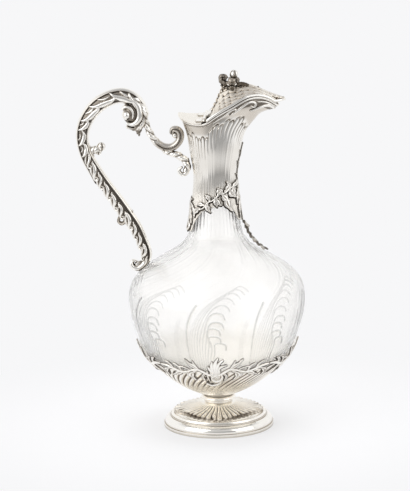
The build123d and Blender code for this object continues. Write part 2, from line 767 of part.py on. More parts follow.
branch_line = [(-7.0, 18.5), (0.0, 25.0), (8.0, 29.5), (14.5, 33.0)]
branch_leaves = [(-4.0, 21.5, 160, 7.0, 3.4), (0.0, 25.0, 100, 8.0, 3.8), (4.0, 27.0, -60, 9.0, 4.0),
                 (8.0, 29.5, 110, 7.5, 3.6), (9.5, 30.0, -55, 10.0, 4.6), (12.0, 31.0, 75, 7.0, 3.2),
                 (-1.0, 24.0, -75, 7.0, 3.6)]
lip_line = [(7.0, 43.0), (16.0, 48.8), (26.0, 53.6), (36.0, 54.4), (43.0, 52.0)]
branch_shapes = [stem([(x, neck_root_level + z) for x, z in branch_line], 2.2)]
branch_shapes += [leaf((x, neck_root_level + z), angle, length, width)
                  for x, z, angle, length, width in branch_leaves]
lip_shapes = [stem([(x, waist_level + z) for x, z in lip_line], 2.8)]
for place, reach in (("front", mount_reach), ("back", -mount_reach)):
    ornament(f"neck_branch_{place}", Plane.XZ, reach, branch_shapes)
    ornament(f"lip_scroll_{place}", Plane.XZ, reach, lip_shapes)

drop_leaves = [(0.0, 66.0, -90, 22.0, 2.4), (0.0, 48.0, -90, 20.0, 3.0), (0.0, 36.0, -70, 15.0, 5.5),
               (0.0, 36.0, -110, 15.0, 5.5), (0.0, 32.0, -90, 28.0, 5.0), (0.0, 34.0, 60, 8.0, 3.6),
               (0.0, 34.0, 120, 8.0, 3.6)]
ornament("spout_drape", Plane.YZ, mount_reach, [leaf((y, neck_root_level + z), angle, length, width)
                                              for y, z, angle, length, width in drop_leaves])
bundle_leaves = [(0.0, 18.0, -90, 23.0, 6.0), (-1.0, 18.0, -112, 20.0, 5.5), (1.0, 18.0, -68, 20.0, 5.5),
                 (0.0, 17.0, 50, 8.0, 4.0), (0.0, 17.0, 130, 8.0, 4.0)]
ornament("handle_drape", Plane.YZ, -mount_reach, [leaf((y, neck_root_level + z), angle, length, width)
                                                for y, z, angle, length, width in bundle_leaves])

# Thin stem that runs on from the spout's drape down the shoulder of the glass
stem_angle = 5.0
stem_low = neck_root_level - 21.5
stem_high = neck_root_level + 2.0
with BuildPart() as shoulder_stem:
    stem_sketch = shell_between(seat_gap, seat_gap + ornament_thickness)
    revolve(stem_sketch.sketch, axis=Axis.Z, revolution_arc=stem_angle)
    split(bisect_by=Plane.XY.offset(stem_low), keep=Keep.TOP)
    split(bisect_by=Plane.XY.offset(stem_high), keep=Keep.BOTTOM)
with BuildPart() as centred_stem:
    add(shoulder_stem.part.rotate(Axis.Z, -stem_angle / 2))
finish(centred_stem, "shoulder_stem")

# Handle. It is drawn between two anchors, one on the shoulder and one on the neck, so that it
# keeps its seats when the body or the neck changes.
drawn_foot = (-58.05, 134.0)
drawn_neck = (-17.9, 215.0)
foot_anchor = (-(outline[10][0] + outline[11][0]) / 2, (outline[10][1] + outline[11][1]) / 2)
neck_anchor = (-waist_radius, waist_level)


def placed(stations):
    """Move drawn stations to where the two anchors really are."""
    drawn = complex(drawn_neck[0] - drawn_foot[0], drawn_neck[1] - drawn_foot[1])
    real = complex(neck_anchor[0] - foot_anchor[0], neck_anchor[1] - foot_anchor[1])
    moved = []
    for x, z, thick, wide in stations:
        spot = complex(x - drawn_foot[0], z - drawn_foot[1]) * real / drawn
        moved.append((foot_anchor[0] + spot.real, foot_anchor[1] + spot.imag, thick, wide))
    return moved


grip_stations = [(-57.2, 257.5, 2.8, 3.6), (-58.8, 264.0, 4.6, 4.6), (-64.5, 271.8, 5.8, 5.4),
                 (-73.0, 275.7, 6.3, 5.8), (-83.5, 274.3, 6.4, 5.8), (-94.0, 268.5, 6.4, 5.6),
                 (-102.3, 259.0, 6.0, 5.4), (-106.8, 248.3, 5.5, 5.1), (-107.3, 238.5, 5.2, 5.0),
                 (-105.0, 228.5, 5.3, 5.0), (-99.0, 216.3, 5.6, 5.0), (-88.5, 200.0, 5.8, 5.0),
                 (-80.3, 188.6, 5.9, 5.0), (-72.4, 176.8, 5.9, 4.9), (-65.2, 165.6, 5.5, 4.6),
                 (-60.4, 154.5, 5.0, 4.4), (-57.6, 146.0, 4.7, 4.2), (-58.0, 140.6, 4.2, 4.0),
                 (-61.2, 136.6, 3.4, 3.8), (-66.0, 136.0, 2.4, 3.4)]
thumb_stations = [(-104.0, 231.0, 3.4, 3.0), (-99.0, 232.0, 3.2, 2.6), (-94.6, 232.8, 2.8, 2.6),
                  (-91.6, 232.6, 2.8, 2.6), (-90.0, 230.4, 1.8, 2.0)]
curl_stations = [(-70.5, 179.0, 3.0, 2.6), (-73.6, 176.0, 3.0, 2.4), (-75.8, 172.6, 2.2, 2.2),
                 (-75.4, 169.8, 1.4, 1.8)]
volute_centre = (-68.0, 262.0)
volute_radius = 6.6
with BuildPart() as handle_grip:
    add(bar(placed(grip_stations)))
    add(bar(placed(thumb_stations)))
    add(bar(placed(curl_stations)))
    volute_x, volute_z = placed([(*volute_centre, 0, 0)])[0][:2]
    with BuildSketch(Plane.XZ.offset(-handle_width)):
        with Locations((volute_x, volute_z)):
            Circle(volute_radius)
    extrude(amount=2 * handle_width)
    add(glass_clear, mode=Mode.SUBTRACT)
finish(handle_grip, "handle_grip")

link_stations = [(-57.0, 259.0, 2.4, 3.0), (-55.8, 255.0, 2.6, 3.2), (-53.8, 248.5, 2.8, 3.4),
                 (-49.5, 240.5, 3.0, 3.4), (-42.5, 234.0, 3.2, 3.4), (-35.0, 232.8, 3.0, 3.4),
                 (-29.3, 236.2, 2.8, 3.4),
                 (-26.6, 242.4, 2.6, 3.4), (-28.9, 248.2, 2.3, 3.4), (-33.6, 249.0, 2.0, 3.2),
                 (-35.6, 245.4, 1.6, 3.0)]
with BuildPart() as handle_link:
    add(bar(placed(link_stations)))
    add(handle_grip.part, mode=Mode.SUBTRACT)
finish(handle_link, "handle_link")

bracket_stations = [(-41.5, 229.8, 1.6, 2.4), (-36.0, 228.6, 2.2, 2.8), (-29.5, 226.3, 2.4, 3.0),
                    (-24.2, 222.4, 2.6, 3.0), (-22.0, 217.0, 2.6, 3.0), (-24.0, 213.0, 1.8, 2.6)]
with BuildPart() as handle_bracket:
    add(bar(placed(bracket_stations)))
    add(handle_link.part, mode=Mode.SUBTRACT)
finish(handle_bracket, "handle_bracket")

tassel_stations = [(-62.5, 254.8, 3.4, 3.6), (-61.5, 250.5, 3.8, 3.8), (-60.5, 246.5, 2.6, 2.8),
                   (-60.0, 243.5, 0.8, 1.0)]
with BuildPart() as handle_tassel:
    add(bar(placed(tassel_stations)))
    add(handle_grip.part, mode=Mode.SUBTRACT)
    add(handle_link.part, mode=Mode.SUBTRACT)
finish(handle_tassel, "handle_tassel")
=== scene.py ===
import bmesh
import bpy
import math
import numpy as np
from mathutils import Matrix, Vector


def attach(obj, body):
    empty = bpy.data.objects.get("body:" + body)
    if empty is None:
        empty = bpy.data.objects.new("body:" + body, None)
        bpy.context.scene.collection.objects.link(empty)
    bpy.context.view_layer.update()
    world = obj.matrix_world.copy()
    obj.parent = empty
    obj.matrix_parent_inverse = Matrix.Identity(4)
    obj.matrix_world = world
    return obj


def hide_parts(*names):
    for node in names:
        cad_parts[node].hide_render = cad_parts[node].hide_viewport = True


# Looks of the cut crystal ewer. Shapes are worked out in millimetres and made in metres.
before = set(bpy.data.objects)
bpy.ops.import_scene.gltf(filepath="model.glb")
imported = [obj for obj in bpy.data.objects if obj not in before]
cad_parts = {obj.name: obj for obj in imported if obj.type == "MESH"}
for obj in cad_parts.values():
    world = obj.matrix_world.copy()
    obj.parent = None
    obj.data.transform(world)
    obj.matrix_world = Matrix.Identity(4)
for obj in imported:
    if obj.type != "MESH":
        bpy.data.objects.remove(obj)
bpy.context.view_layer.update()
mm = 0.001
inner_step = 4


# Curves and meshes
def run_along(points):
    """Distance along a line of points, from its start."""
    return np.concatenate([[0.0], np.cumsum(np.linalg.norm(np.diff(points, axis=0), axis=1))])


def unit_rows(rows):
    """Rows of numbers scaled to unit length."""
    return rows / np.linalg.norm(rows, axis=1)[:, None]


def full_turn(count):
    """Even angles round a full turn."""
    return np.arange(count) * 2 * math.pi / count


def smooth_line(points, count):
    """Even points on the smooth curve through a few points."""
    points = np.asarray(points, float)
    knots = run_along(points)
    steps = np.diff(knots)
    last = len(points) - 1
    system = np.eye(last + 1)
    bends = np.zeros_like(points)
    for i in range(1, last):
        system[i, i - 1:i + 2] = steps[i - 1], 2 * (steps[i - 1] + steps[i]), steps[i]
        bends[i] = 6 * ((points[i + 1] - points[i]) / steps[i] - (points[i] - points[i - 1]) / steps[i - 1])
    bends = np.linalg.solve(system, bends)
    along = np.linspace(0.0, knots[-1], count)
    cell = np.clip(np.searchsorted(knots, along, side="right") - 1, 0, last - 1)
    step = steps[cell][:, None]
    low = (knots[cell + 1] - along)[:, None] / step
    high = 1.0 - low
    curve = low * points[cell] + high * points[cell + 1]
    curve += step ** 2 / 6 * ((low ** 3 - low) * bends[cell] + (high ** 3 - high) * bends[cell + 1])
    return curve


def smooth_step(value, low, high):
    """Rise smoothly from 0 at low to 1 at high."""
    share = np.clip((value - low) / (high - low), 0.0, 1.0)
    return share * share * (3 - 2 * share)


def between(value, low, full, end, gone):
    """Rise smoothly from 0 to 1 between low and full, and fall back between end and gone."""
    return smooth_step(value, low, full) * (1 - smooth_step(value, end, gone))


def sized(shape, start, reach, low, tall):
    """A shape drawn in shares of its width and height, at its real size."""
    return [(start + out * reach, low + up * tall) for out, up in shape]


def grid_faces(rows, columns, wrap_rows, wrap_columns):
    """Four-cornered faces of a grid of points, row by row."""
    down = np.arange(rows if wrap_rows else rows - 1)
    across = np.arange(columns if wrap_columns else columns - 1)
    down, across = np.meshgrid(down, across, indexing="ij")
    below = (down + 1) % rows
    beside = (across + 1) % columns
    corners = [down * columns + across, below * columns + across,
               below * columns + beside, down * columns + beside]
    return np.stack([corner.ravel() for corner in corners], axis=1)


def add_object(name, data):
    """New object in the scene."""
    made = bpy.data.objects.new(name, data)
    bpy.context.scene.collection.objects.link(made)
    return made


def make_piece(name, shape, tarnish_and_shade, nodes, look, body="ewer", hidden=None):
    """Make one piece from a shape in millimetres, and let it stand for its CAD nodes.

    A shape is its points, quads and triangles, and a look is a slot, which is not used, and its material.
    Tarnish and shade (the fourth argument) say how deep each point lies in a hollow, painted dark there as
    tarnish and as shade (on the crystal, as the grey shade of its cuts), and hidden is 1 on a side that is
    turned away.
    """
    points, quads, triangles = shape
    slot, material = look
    mesh = bpy.data.meshes.new(name)
    corners = np.concatenate([quads.ravel(), np.ravel(triangles)])
    starts = np.concatenate([np.arange(len(quads)) * 4, quads.size + np.arange(len(triangles)) * 3])
    mesh.vertices.add(len(points))
    mesh.vertices.foreach_set("co", (points * mm).astype(np.float32).ravel())
    mesh.loops.add(len(corners))
    mesh.loops.foreach_set("vertex_index", corners.astype(np.int32))
    mesh.polygons.add(len(starts))
    mesh.polygons.foreach_set("loop_start", starts.astype(np.int32))
    mesh.update(calc_edges=True)
    mesh.validate()
    for label, values in (("tarnish_and_shade", tarnish_and_shade), ("bedded", hidden)):
        if values is not None:
            layer = mesh.attributes.new(label, "FLOAT", "POINT")
            layer.data.foreach_set("value", np.clip(values, 0, 1).astype(np.float32).ravel())
    work = bmesh.new()
    work.from_mesh(mesh)
    bmesh.ops.recalc_face_normals(work, faces=work.faces)
    work.to_mesh(mesh)
    work.free()
    mesh.polygons.foreach_set("use_smooth", np.ones(len(mesh.polygons), bool))
    mesh.materials.append(material)
    piece = add_object(name, mesh)
    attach(piece, body)
    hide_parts(*nodes)


def shell_mesh(outer, inner):
    """Points and faces of a closed plate between two grids of points."""
    rows, columns = outer.shape[:2]
    count = rows * columns
    index = np.arange(count).reshape(rows, columns)
    skin = grid_faces(rows, columns, False, False)
    faces = [skin, skin[:, ::-1] + count]
    for edge in (index[0], index[-1], index[:, 0], index[:, -1]):
        faces.append(np.stack([edge[:-1], edge[1:], edge[1:] + count, edge[:-1] + count], axis=1))
    return np.concatenate([outer.reshape(-1, 3), inner.reshape(-1, 3)]), np.concatenate(faces)


def make_turned(name, outer, inner, tone, nodes, look, floors=(), mark=False):
    """Make a shell round the axis, whose inner skin is coarser.

    Floors are the levels of a flat bottom below and inside. Mark stores which side is hidden.
    """
    rows, columns = outer.shape[:2]
    pick = np.append(np.arange(0, rows - 1, inner_step), rows - 1)
    coarse = inner[pick][:, ::inner_step]
    inner_rows, inner_columns = coarse.shape[:2]
    count = rows * columns
    bottom = count + inner_rows * inner_columns
    points = np.concatenate([outer.reshape(-1, 3), coarse.reshape(-1, 3),
                             np.reshape([(0, 0, level) for level in floors], (-1, 3))])
    quads = np.concatenate([grid_faces(rows, columns, False, True),
                            grid_faces(inner_rows, inner_columns, False, True)[:, ::-1] + count])
    triangles = []
    for outer_row, inner_row in ((0, 0), (rows - 1, inner_rows - 1))[1 if floors else 0:]:
        for c in range(columns):
            first = outer_row * columns + c
            second = outer_row * columns + (c + 1) % columns
            near = count + inner_row * inner_columns + c // inner_step
            after = count + inner_row * inner_columns + (c // inner_step + 1) % inner_columns
            triangles.append((first, second, near if c % inner_step < inner_step // 2 else after))
            if c % inner_step == inner_step // 2:
                triangles.append((first, after, near))
    for number, (start, around) in enumerate([(0, columns), (count, inner_columns)][:len(floors)]):
        triangles += [(start + c, start + (c + 1) % around, bottom + number) for c in range(around)]
    tarnish_and_shade = np.zeros(len(points))
    tarnish_and_shade[:count] = tone.ravel()
    hidden = np.ones(len(points))
    hidden[:count] = 0.0
    hidden[bottom:bottom + 1] = 0.0
    make_piece(name, (points, quads, np.array(triangles)), tarnish_and_shade, nodes, look,
               hidden=hidden if mark else None)


def line_normals(line):
    """Unit normals of a line of points in a plane, to the right of the way it runs."""
    way = unit_rows(np.gradient(line, axis=0))
    return np.stack([way[:, 1], -way[:, 0]], axis=1)


def turned_grid(line, angles, side=None, depth=0.0):
    """Points of a (radius, height) line turned round the ewer's axis, moved to its side by a depth."""
    depth = depth + 0 * angles
    side = line if side is None else side
    radius, height = (line[:, i][:, None] + side[:, i][:, None] * depth for i in (0, 1))
    return np.stack([radius * np.cos(angles), radius * np.sin(angles), height], axis=2)


def grid_normals(points, wrap_columns):
    """Unit normals of a grid of points, turned outwards."""
    down = np.gradient(points, axis=0)
    if wrap_columns:
        across = np.roll(points, -1, axis=1) - np.roll(points, 1, axis=1)
    else:
        across = np.gradient(points, axis=1)
    normal = np.cross(across, down)
    normal = normal / np.maximum(np.linalg.norm(normal, axis=2), 1e-9)[:, :, None]
    return normal if np.sum(normal[..., :2] * points[..., :2]) >= 0 else -normal


# Foliage and scrolls are strokes: a smooth line with a half width at each of its points
# How dark the hollow beds and the shade strokes are painted, as shade
painted_shade_tones = {"hollow": 0.95, "shade": 0.62}


def stroke(points, widths, height, kind="bead", notches=0):
    """One stroke; kind is bead, leaf, flat, hollow or shade, where hollow and shade strokes are low beds
    painted dark as shade. Notches cut a leaf's edges.
    """
    corners = np.asarray(points, float)
    length = np.hypot(*np.diff(corners, axis=0).T).sum()
    count = max(12, 4 * len(points) + 4 * notches, int(length / 0.55))
    line = smooth_line(points, count)
    share = np.linspace(0, 1, count)
    width = np.interp(share, np.linspace(0, 1, len(widths)), widths)
    if notches:
        width = width * (1 - 0.34 * np.abs(np.sin(math.pi * notches * share)) ** 3)
    return line, width, height, kind


def leaf(points, widths, height, notches):
    """One stroke with a vein along it and notched edges."""
    return stroke(points, widths, height, "leaf", notches)


def mirrored(strokes):
    """Strokes with their mirror images beside the upright axis."""
    flipped = [(line * np.array([-1.0, 1.0]), *rest) for line, *rest in strokes]
    return strokes + flipped


def bedded(strokes, reach, drop=0.5):
    """Strokes with a bed of painted shade under each, dropped so that it shows mostly on its lower side."""
    beds = [(line - np.array([0.0, drop]), width + reach, 0.1, "hollow") for line, width, _, kind in strokes
            if kind != "flat"]
    return beds + strokes


def relief_of(strokes, across, up):
    """Height of strokes over a grid, and how deep each point lies in a groove, where it is painted dark as
    tarnish and shade.
    """
    height = np.full(across.shape, -1.0)
    tarnish_and_shade = np.zeros(across.shape)
    for line, width, top, kind in strokes:
        reach = width.max() + 0.5
        near = ((across > line[:, 0].min() - reach) & (across < line[:, 0].max() + reach)
                & (up > line[:, 1].min() - reach) & (up < line[:, 1].max() + reach))
        if not near.any():
            continue
        gap = np.hypot(across[near][:, None] - line[:, 0], up[near][:, None] - line[:, 1])
        edge = (gap / width).min(axis=1)
        inside = np.clip(1 - edge ** 2, 0, 1)
        # Edges of strokes and veins of leaves are painted dark as tarnish and shade
        if kind == "bead":
            rise = top * np.sqrt(inside)
            dark = 0.8 * smooth_step(edge, 0.78, 1.0)
        elif kind == "leaf":
            vein = np.exp(-(edge / 0.22) ** 2)
            rise = top * (0.35 + 0.65 * np.sqrt(inside)) * (1 - 0.45 * vein)
            dark = np.maximum(0.55 * vein, 0.8 * smooth_step(edge, 0.82, 1.0))
        else:
            rise = top * np.minimum(1.0, 3 * inside)
            dark = smooth_step(edge, 0.85, 1.0) if kind == "flat" else painted_shade_tones[kind] + 0 * edge
        rise = np.where(edge < 1, rise, np.maximum(1 - edge, -1.0))
        old = height[near]
        ahead = rise > old
        height[near] = np.where(ahead, rise, old)
        kept = np.maximum(tarnish_and_shade[near] * (old > 0), 0.8 * (rise > old - 0.25) * dark)
        tarnish_and_shade[near] = np.where(ahead, dark, kept)
    return height, tarnish_and_shade


def casting(name, strokes, thickness, grid, place, view, nodes):
    """Cut a casting out of a surface where its strokes lie.

    place(row share, column share) gives points on the surface, and view is the turn round the axis
    from which its strokes are drawn.
    """
    down, across = np.meshgrid(*(np.linspace(0, 1, count) for count in grid), indexing="ij")
    base = place(down, across)
    normal = grid_normals(base, False)
    sideways = base[..., 0] * math.cos(view) + base[..., 1] * math.sin(view)
    height, tarnish_and_shade = relief_of(strokes, sideways, base[..., 2])
    height[0, :] = height[-1, :] = height[:, 0] = height[:, -1] = -1.0
    inside = height > 0
    index = np.full(inside.shape, -1)
    index[inside] = np.arange(inside.sum())
    low = [base[inside]]
    high = [base[inside] + (thickness + height[inside])[:, None] * normal[inside]]
    tarnish_and_shade_values = [tarnish_and_shade[inside]]
    crossings = {}
    total = int(inside.sum())
    cells = inside[:-1, :-1].astype(int) + inside[1:, :-1] + inside[1:, 1:] + inside[:-1, 1:]
    full_r, full_c = np.nonzero(cells == 4)
    quads = np.stack([index[full_r, full_c], index[full_r + 1, full_c],
                      index[full_r + 1, full_c + 1], index[full_r, full_c + 1]], axis=1)
    triangles = []
    for r, c in zip(*np.nonzero((cells > 0) & (cells < 4))):
        corners = [(r, c), (r + 1, c), (r + 1, c + 1), (r, c + 1)]
        ring = []
        for start, end in zip(corners, corners[1:] + corners[:1]):
            if inside[start]:
                ring.append(index[start])
            if inside[start] != inside[end]:
                key = (start, end) if start < end else (end, start)
                if key not in crossings:
                    a, b = height[start], height[end]
                    share = min(max(a / (a - b), 0.02), 0.98)
                    spot = base[start] + share * (base[end] - base[start])
                    lift = normal[start] + share * (normal[end] - normal[start])
                    low.append(spot[None])
                    high.append((spot + thickness * lift)[None])
                    tarnish_and_shade_values.append(np.ones(1))
                    crossings[key] = total
                    total += 1
                ring.append(crossings[key])
        triangles += [(ring[0], ring[i], ring[i + 1]) for i in range(1, len(ring) - 1)]
    triangles = np.array(triangles, int).reshape(-1, 3)
    edges = np.concatenate([faces[:, [i, (i + 1) % faces.shape[1]]] for faces in (quads, triangles)
                            for i in range(faces.shape[1])])
    ordered = np.sort(edges, axis=1)
    numbers = ordered[:, 0] * total + ordered[:, 1]
    _, first, counts = np.unique(numbers, return_index=True, return_counts=True)
    rim = edges[first[counts == 1]]
    walls = np.stack([rim[:, 1], rim[:, 0], rim[:, 0] + total, rim[:, 1] + total], axis=1)
    shape = (np.concatenate(high + low), np.concatenate([quads, quads[:, ::-1] + total, walls]),
             np.concatenate([triangles, triangles[:, ::-1] + total]))
    tarnish_and_shade_values = np.concatenate(tarnish_and_shade_values)
    make_piece(name, shape, np.append(tarnish_and_shade_values, 0 * tarnish_and_shade_values), nodes, chased_look,
               hidden=np.append(0 * tarnish_and_shade_values, np.ones(len(tarnish_and_shade_values))))


# Materials
class Graph:
    """Shader nodes of a material or a world, with short ways to add and wire them."""

    def __init__(self, owner):
        owner.use_nodes = True
        self.tree = owner.node_tree
        self.tree.nodes.clear()

    def feed(self, socket, value):
        """Wire a socket to an output, or give it a plain value."""
        if isinstance(value, bpy.types.NodeSocket):
            self.tree.links.new(value, socket)
        else:
            socket.default_value = value

    def add(self, kind, traits=None, **inputs):
        """Add a node with its traits; an underscore in the name of an input stands for a space."""
        node = self.tree.nodes.new("ShaderNode" + kind)
        for trait, value in (traits or {}).items():
            setattr(node, trait, value)
        for name, value in inputs.items():
            self.feed(node.inputs[name.replace("_", " ")], value)
        return node

    def math(self, operation, first, second):
        """Result of a sum on two outputs or numbers."""
        node = self.add("Math", {"operation": operation})
        for socket, value in zip(node.inputs, (first, second)):
            self.feed(socket, value)
        return node.outputs[0]

    def ramp(self, value, stops):
        """Colour for a value, through (place, colour) stops."""
        node = self.add("ValToRGB", Fac=value)
        elements = node.color_ramp.elements
        for element, (place, colour) in zip(elements, (stops[0], stops[-1])):
            element.position = place
            element.color = (*colour, 1)
        for place, colour in stops[1:-1]:
            elements.new(place).color = (*colour, 1)
        return node.outputs["Color"]

    def stored(self, name):
        """Value stored with the points of a mesh."""
        return self.add("Attribute", {"attribute_name": name}).outputs["Fac"]

    def noise(self, scale, detail=2.0):
        """Cloudy pattern in the piece's own coordinates."""
        place = self.add("TexCoord").outputs["Object"]
        return self.add("TexNoise", Vector=place, Scale=scale, Detail=detail).outputs["Fac"]

    def bump(self, height, strength, distance):
        """Normal that follows a fine height."""
        return self.add("Bump", Height=height, Strength=strength, Distance=distance).outputs["Normal"]

    def smooth_range(self, value, start, end, low=0.0, high=1.0):
        """Value that rises smoothly from low at the start to high at the end."""
        inputs = dict(Value=value, From_Min=start, From_Max=end, To_Min=low, To_Max=high)
        return self.add("MapRange", {"interpolation_type": "SMOOTHSTEP"}, **inputs).outputs["Result"]

    def mix(self, share, first, second):
        """Shader that goes from the first to the second with a share."""
        node = self.add("MixShader", Fac=share)
        self.feed(node.inputs[1], first)
        self.feed(node.inputs[2], second)
        return node.outputs["Shader"]


def silver(name, bright, tarnish_and_shade_colour, dark, roughness, crevice, scratch):
    """Old silver: bright where it is rubbed, brown in the hollows from tarnish and from painted crevice
    shade, with faint scratches.
    """
    material = bpy.data.materials.new(name)
    graph = Graph(material)
    # Painted shade: ambient occlusion darkens creases and corners towards the tarnish and dark colours
    hollow = graph.add("AmbientOcclusion", {"samples": 8}, Distance=crevice * mm).outputs["AO"]
    shade = graph.math("MULTIPLY", graph.math("SUBTRACT", 1.0, hollow), 1.1)
    mottle = graph.math("MULTIPLY", graph.math("SUBTRACT", graph.noise(70.0, 5.0), 0.5), 0.20)
    total = graph.math("ADD", graph.math("MAXIMUM", graph.stored("tarnish_and_shade"), shade), mottle)
    hidden = graph.stored("bedded")
    colour = graph.ramp(total, [(0.0, bright), (0.40, tarnish_and_shade_colour), (0.85, dark)])
    filled = graph.add("Mix", {"data_type": "RGBA"}, Factor=hidden, A=colour, B=(0.94, 0.92, 0.88, 1))
    shader = graph.add("BsdfPrincipled", Base_Color=filled.outputs["Result"],
                       Metallic=graph.math("SUBTRACT", 1.0, hidden),
                       Roughness=graph.math("ADD", graph.math("MULTIPLY", total, 0.30), roughness),
                       Normal=graph.bump(graph.noise(900.0, 3.0), scratch, 0.0002))
    graph.add("OutputMaterial", Surface=shader.outputs["BSDF"])
    return material


def clear_crystal():
    """Clear cut crystal, brilliant outside and softly matt inside where it was blown."""
    material = bpy.data.materials.new("crystal")
    graph = Graph(material)
    inner = graph.stored("bedded")
    haze = graph.math("MULTIPLY", inner, 0.09)
    # The cuts are painted grey as shade through the base colour
    shader = graph.add("BsdfPrincipled", IOR=1.45, Roughness=graph.math("MULTIPLY", inner, 0.26),
                       Base_Color=graph.ramp(graph.stored("tarnish_and_shade"), [(0.0, (1.0, 0.995, 0.984)),
                                                                   (1.0, (0.53, 0.525, 0.515))]),
                       Transmission_Weight=graph.math("SUBTRACT", 1.0, haze),
                       Normal=graph.bump(graph.noise(60.0), 0.08, 0.0005))
    clear = graph.add("BsdfTransparent", Color=(0.97, 0.97, 0.97, 1))
    ray = graph.add("LightPath")
    surface = graph.mix(ray.outputs["Is Shadow Ray"], shader.outputs["BSDF"], clear.outputs["BSDF"])
    graph.add("OutputMaterial", Surface=surface)
    return material


def mottled(name, low, high, roughness, metallic, scale):
    """Mottled filler or steel that is mostly hidden."""
    material = bpy.data.materials.new(name)
    graph = Graph(material)
    cloud = graph.noise(scale, 6.0)
    shader = graph.add("BsdfPrincipled", Metallic=metallic,
                       Base_Color=graph.ramp(cloud, [(0.3, low), (0.7, high)]),
                       Roughness=graph.math("ADD", graph.math("MULTIPLY", cloud, 0.2), roughness))
    graph.add("OutputMaterial", Surface=shader.outputs["BSDF"])
    return material


# Silvers: colours from rubbed to hollow, darkened by tarnish and painted shade, roughness, reach of the
# painted crevice shade in mm, and scratches
warm_bright = (0.975, 0.952, 0.905)
satin = silver("satin_silver", (0.985, 0.955, 0.895), (0.80, 0.735, 0.64), (0.16, 0.13, 0.10),
               0.22, 1.6, 0.04)
polished = silver("polished_silver", warm_bright, (0.66, 0.61, 0.54), (0.13, 0.11, 0.09), 0.10, 3.0, 0.04)
chased = silver("chased_silver", warm_bright, (0.46, 0.41, 0.35), (0.025, 0.02, 0.016), 0.17, 2.5, 0.08)
scaled = silver("scaled_silver", (0.975, 0.935, 0.86), (0.72, 0.63, 0.52), (0.06, 0.045, 0.03),
                0.34, 1.6, 0.12)
plaster = mottled("plaster", (0.90, 0.87, 0.81), (0.95, 0.925, 0.88), 0.7, 0.0, 300.0)
steel = mottled("steel", (0.40, 0.40, 0.41), (0.62, 0.62, 0.63), 0.25, 1.0, 400.0)
crystal_look = ("crystal", clear_crystal())
satin_look = ("polished_silver", satin)
polished_look = ("polished_silver", polished)
chased_look = ("chased_silver", chased)
scaled_look = ("chased_silver", scaled)

# Main sizes, as in the solids
cup_floor = 26.2
glass_floor = 27.9
base_flat_radius = 12.0
body_radius = 72.4
belly_height = 81.6
neck_root_radius = 20.6
shoulder_height = 60.5
neck_glass_radius = 16.4
neck_glass_height = 59.0
glass_wall = 4.0
glass_base = 9.0
base_rise = 40.0
cup_gap = 0.7
cup_wall = 1.0
cup_edge = 59.7
border_lift = 1.75
neck_root = 170.0
waist_level = 215.0
waist_radius = 17.9
mouth_front = 55.0
mouth_rear = 27.0
mouth_half_width = 23.1
mouth_point = 0.5
flare_height = 55.0
saddle_level = 255.9
crest_level = 276.5
rim_out = 1.5
seat = 0.05

# Points along and round each shell
cup_grid = (100, 768)
skirt_grid = (96, 960)
neck_grid = (160, 624)
rim_columns = 480
lid_edge_rows = 420
dome_grid = (210, 230)

belly_shape = [(0.125, 0.040), (0.326, 0.119), (0.487, 0.209), (0.667, 0.332), (0.805, 0.467),
               (0.914, 0.663), (0.982, 0.835), (1.0, 1.0)]
shoulder_shape = [(0.961, 0.174), (0.828, 0.339), (0.618, 0.471), (0.390, 0.587),
                  (0.180, 0.702), (0.052, 0.835), (0.0, 1.0)]
neck_shape = [(0.476, 0.254), (0.048, 0.508), (0.0, 0.763), (0.0, 1.0)]
belly_level = glass_floor + belly_height
outline = [(base_flat_radius, glass_floor)]
outline += sized(belly_shape, base_flat_radius, body_radius - base_flat_radius,
                 glass_floor, belly_height)
outline += sized(shoulder_shape, neck_root_radius, body_radius - neck_root_radius,
                 belly_level, shoulder_height)
outline += sized(neck_shape, neck_glass_radius, neck_root_radius - neck_glass_radius,
                 neck_root, neck_glass_height)
glass_line = smooth_line(outline, 900)
glass_side = line_normals(glass_line)


def glass_at(level, lift):
    """Radius and height of the glass's outline at a level, moved out by a lift."""
    spot = np.interp(level, glass_line[:, 1], np.arange(len(glass_line)))
    index = np.arange(len(glass_line))
    radius = np.interp(spot, index, glass_line[:, 0]) + lift * np.interp(spot, index, glass_side[:, 0])
    height = level + lift * np.interp(spot, index, glass_side[:, 1])
    return radius, height


# Crystal body: cut plumes round the belly, swirls on the shoulder and flutes on the neck
units = 8
unit_turn = 2 * math.pi / units
plume_start = math.radians(-90 + 2.4)
plume_feet = [-23.4, -21.6, -19.4, -17.0, -14.8, -12.6, -10.4, -8.2, -5.8, -3.4]
plume_tops = [(21.0, 130.5), (17.0, 128.6), (12.5, 126.2), (7.0, 122.8), (3.2, 117.6), (-0.7, 111.5),
              (-1.5, 104.0), (-4.2, 98.5), (-3.5, 91.6), (1.4, 85.4)]
plume_low = 58.0
plume_high = 136.0

# Swirls of one unit: turn, depth and half width
swirls = ((-0.35, 0.22, 1.3), (-0.27, 0.14, 1.0), (-0.05, 0.12, 1.1), (0.20, 0.10, 1.0))
swirl_turn = math.radians(62)
neck_flutes = 40

# Rows of points on the crystal lie closest from cut_from to fine_to, and wider up to cut_to
crystal_rows = 216
cut_from = 55.0
fine_to = 134.0
cut_to = 190.0


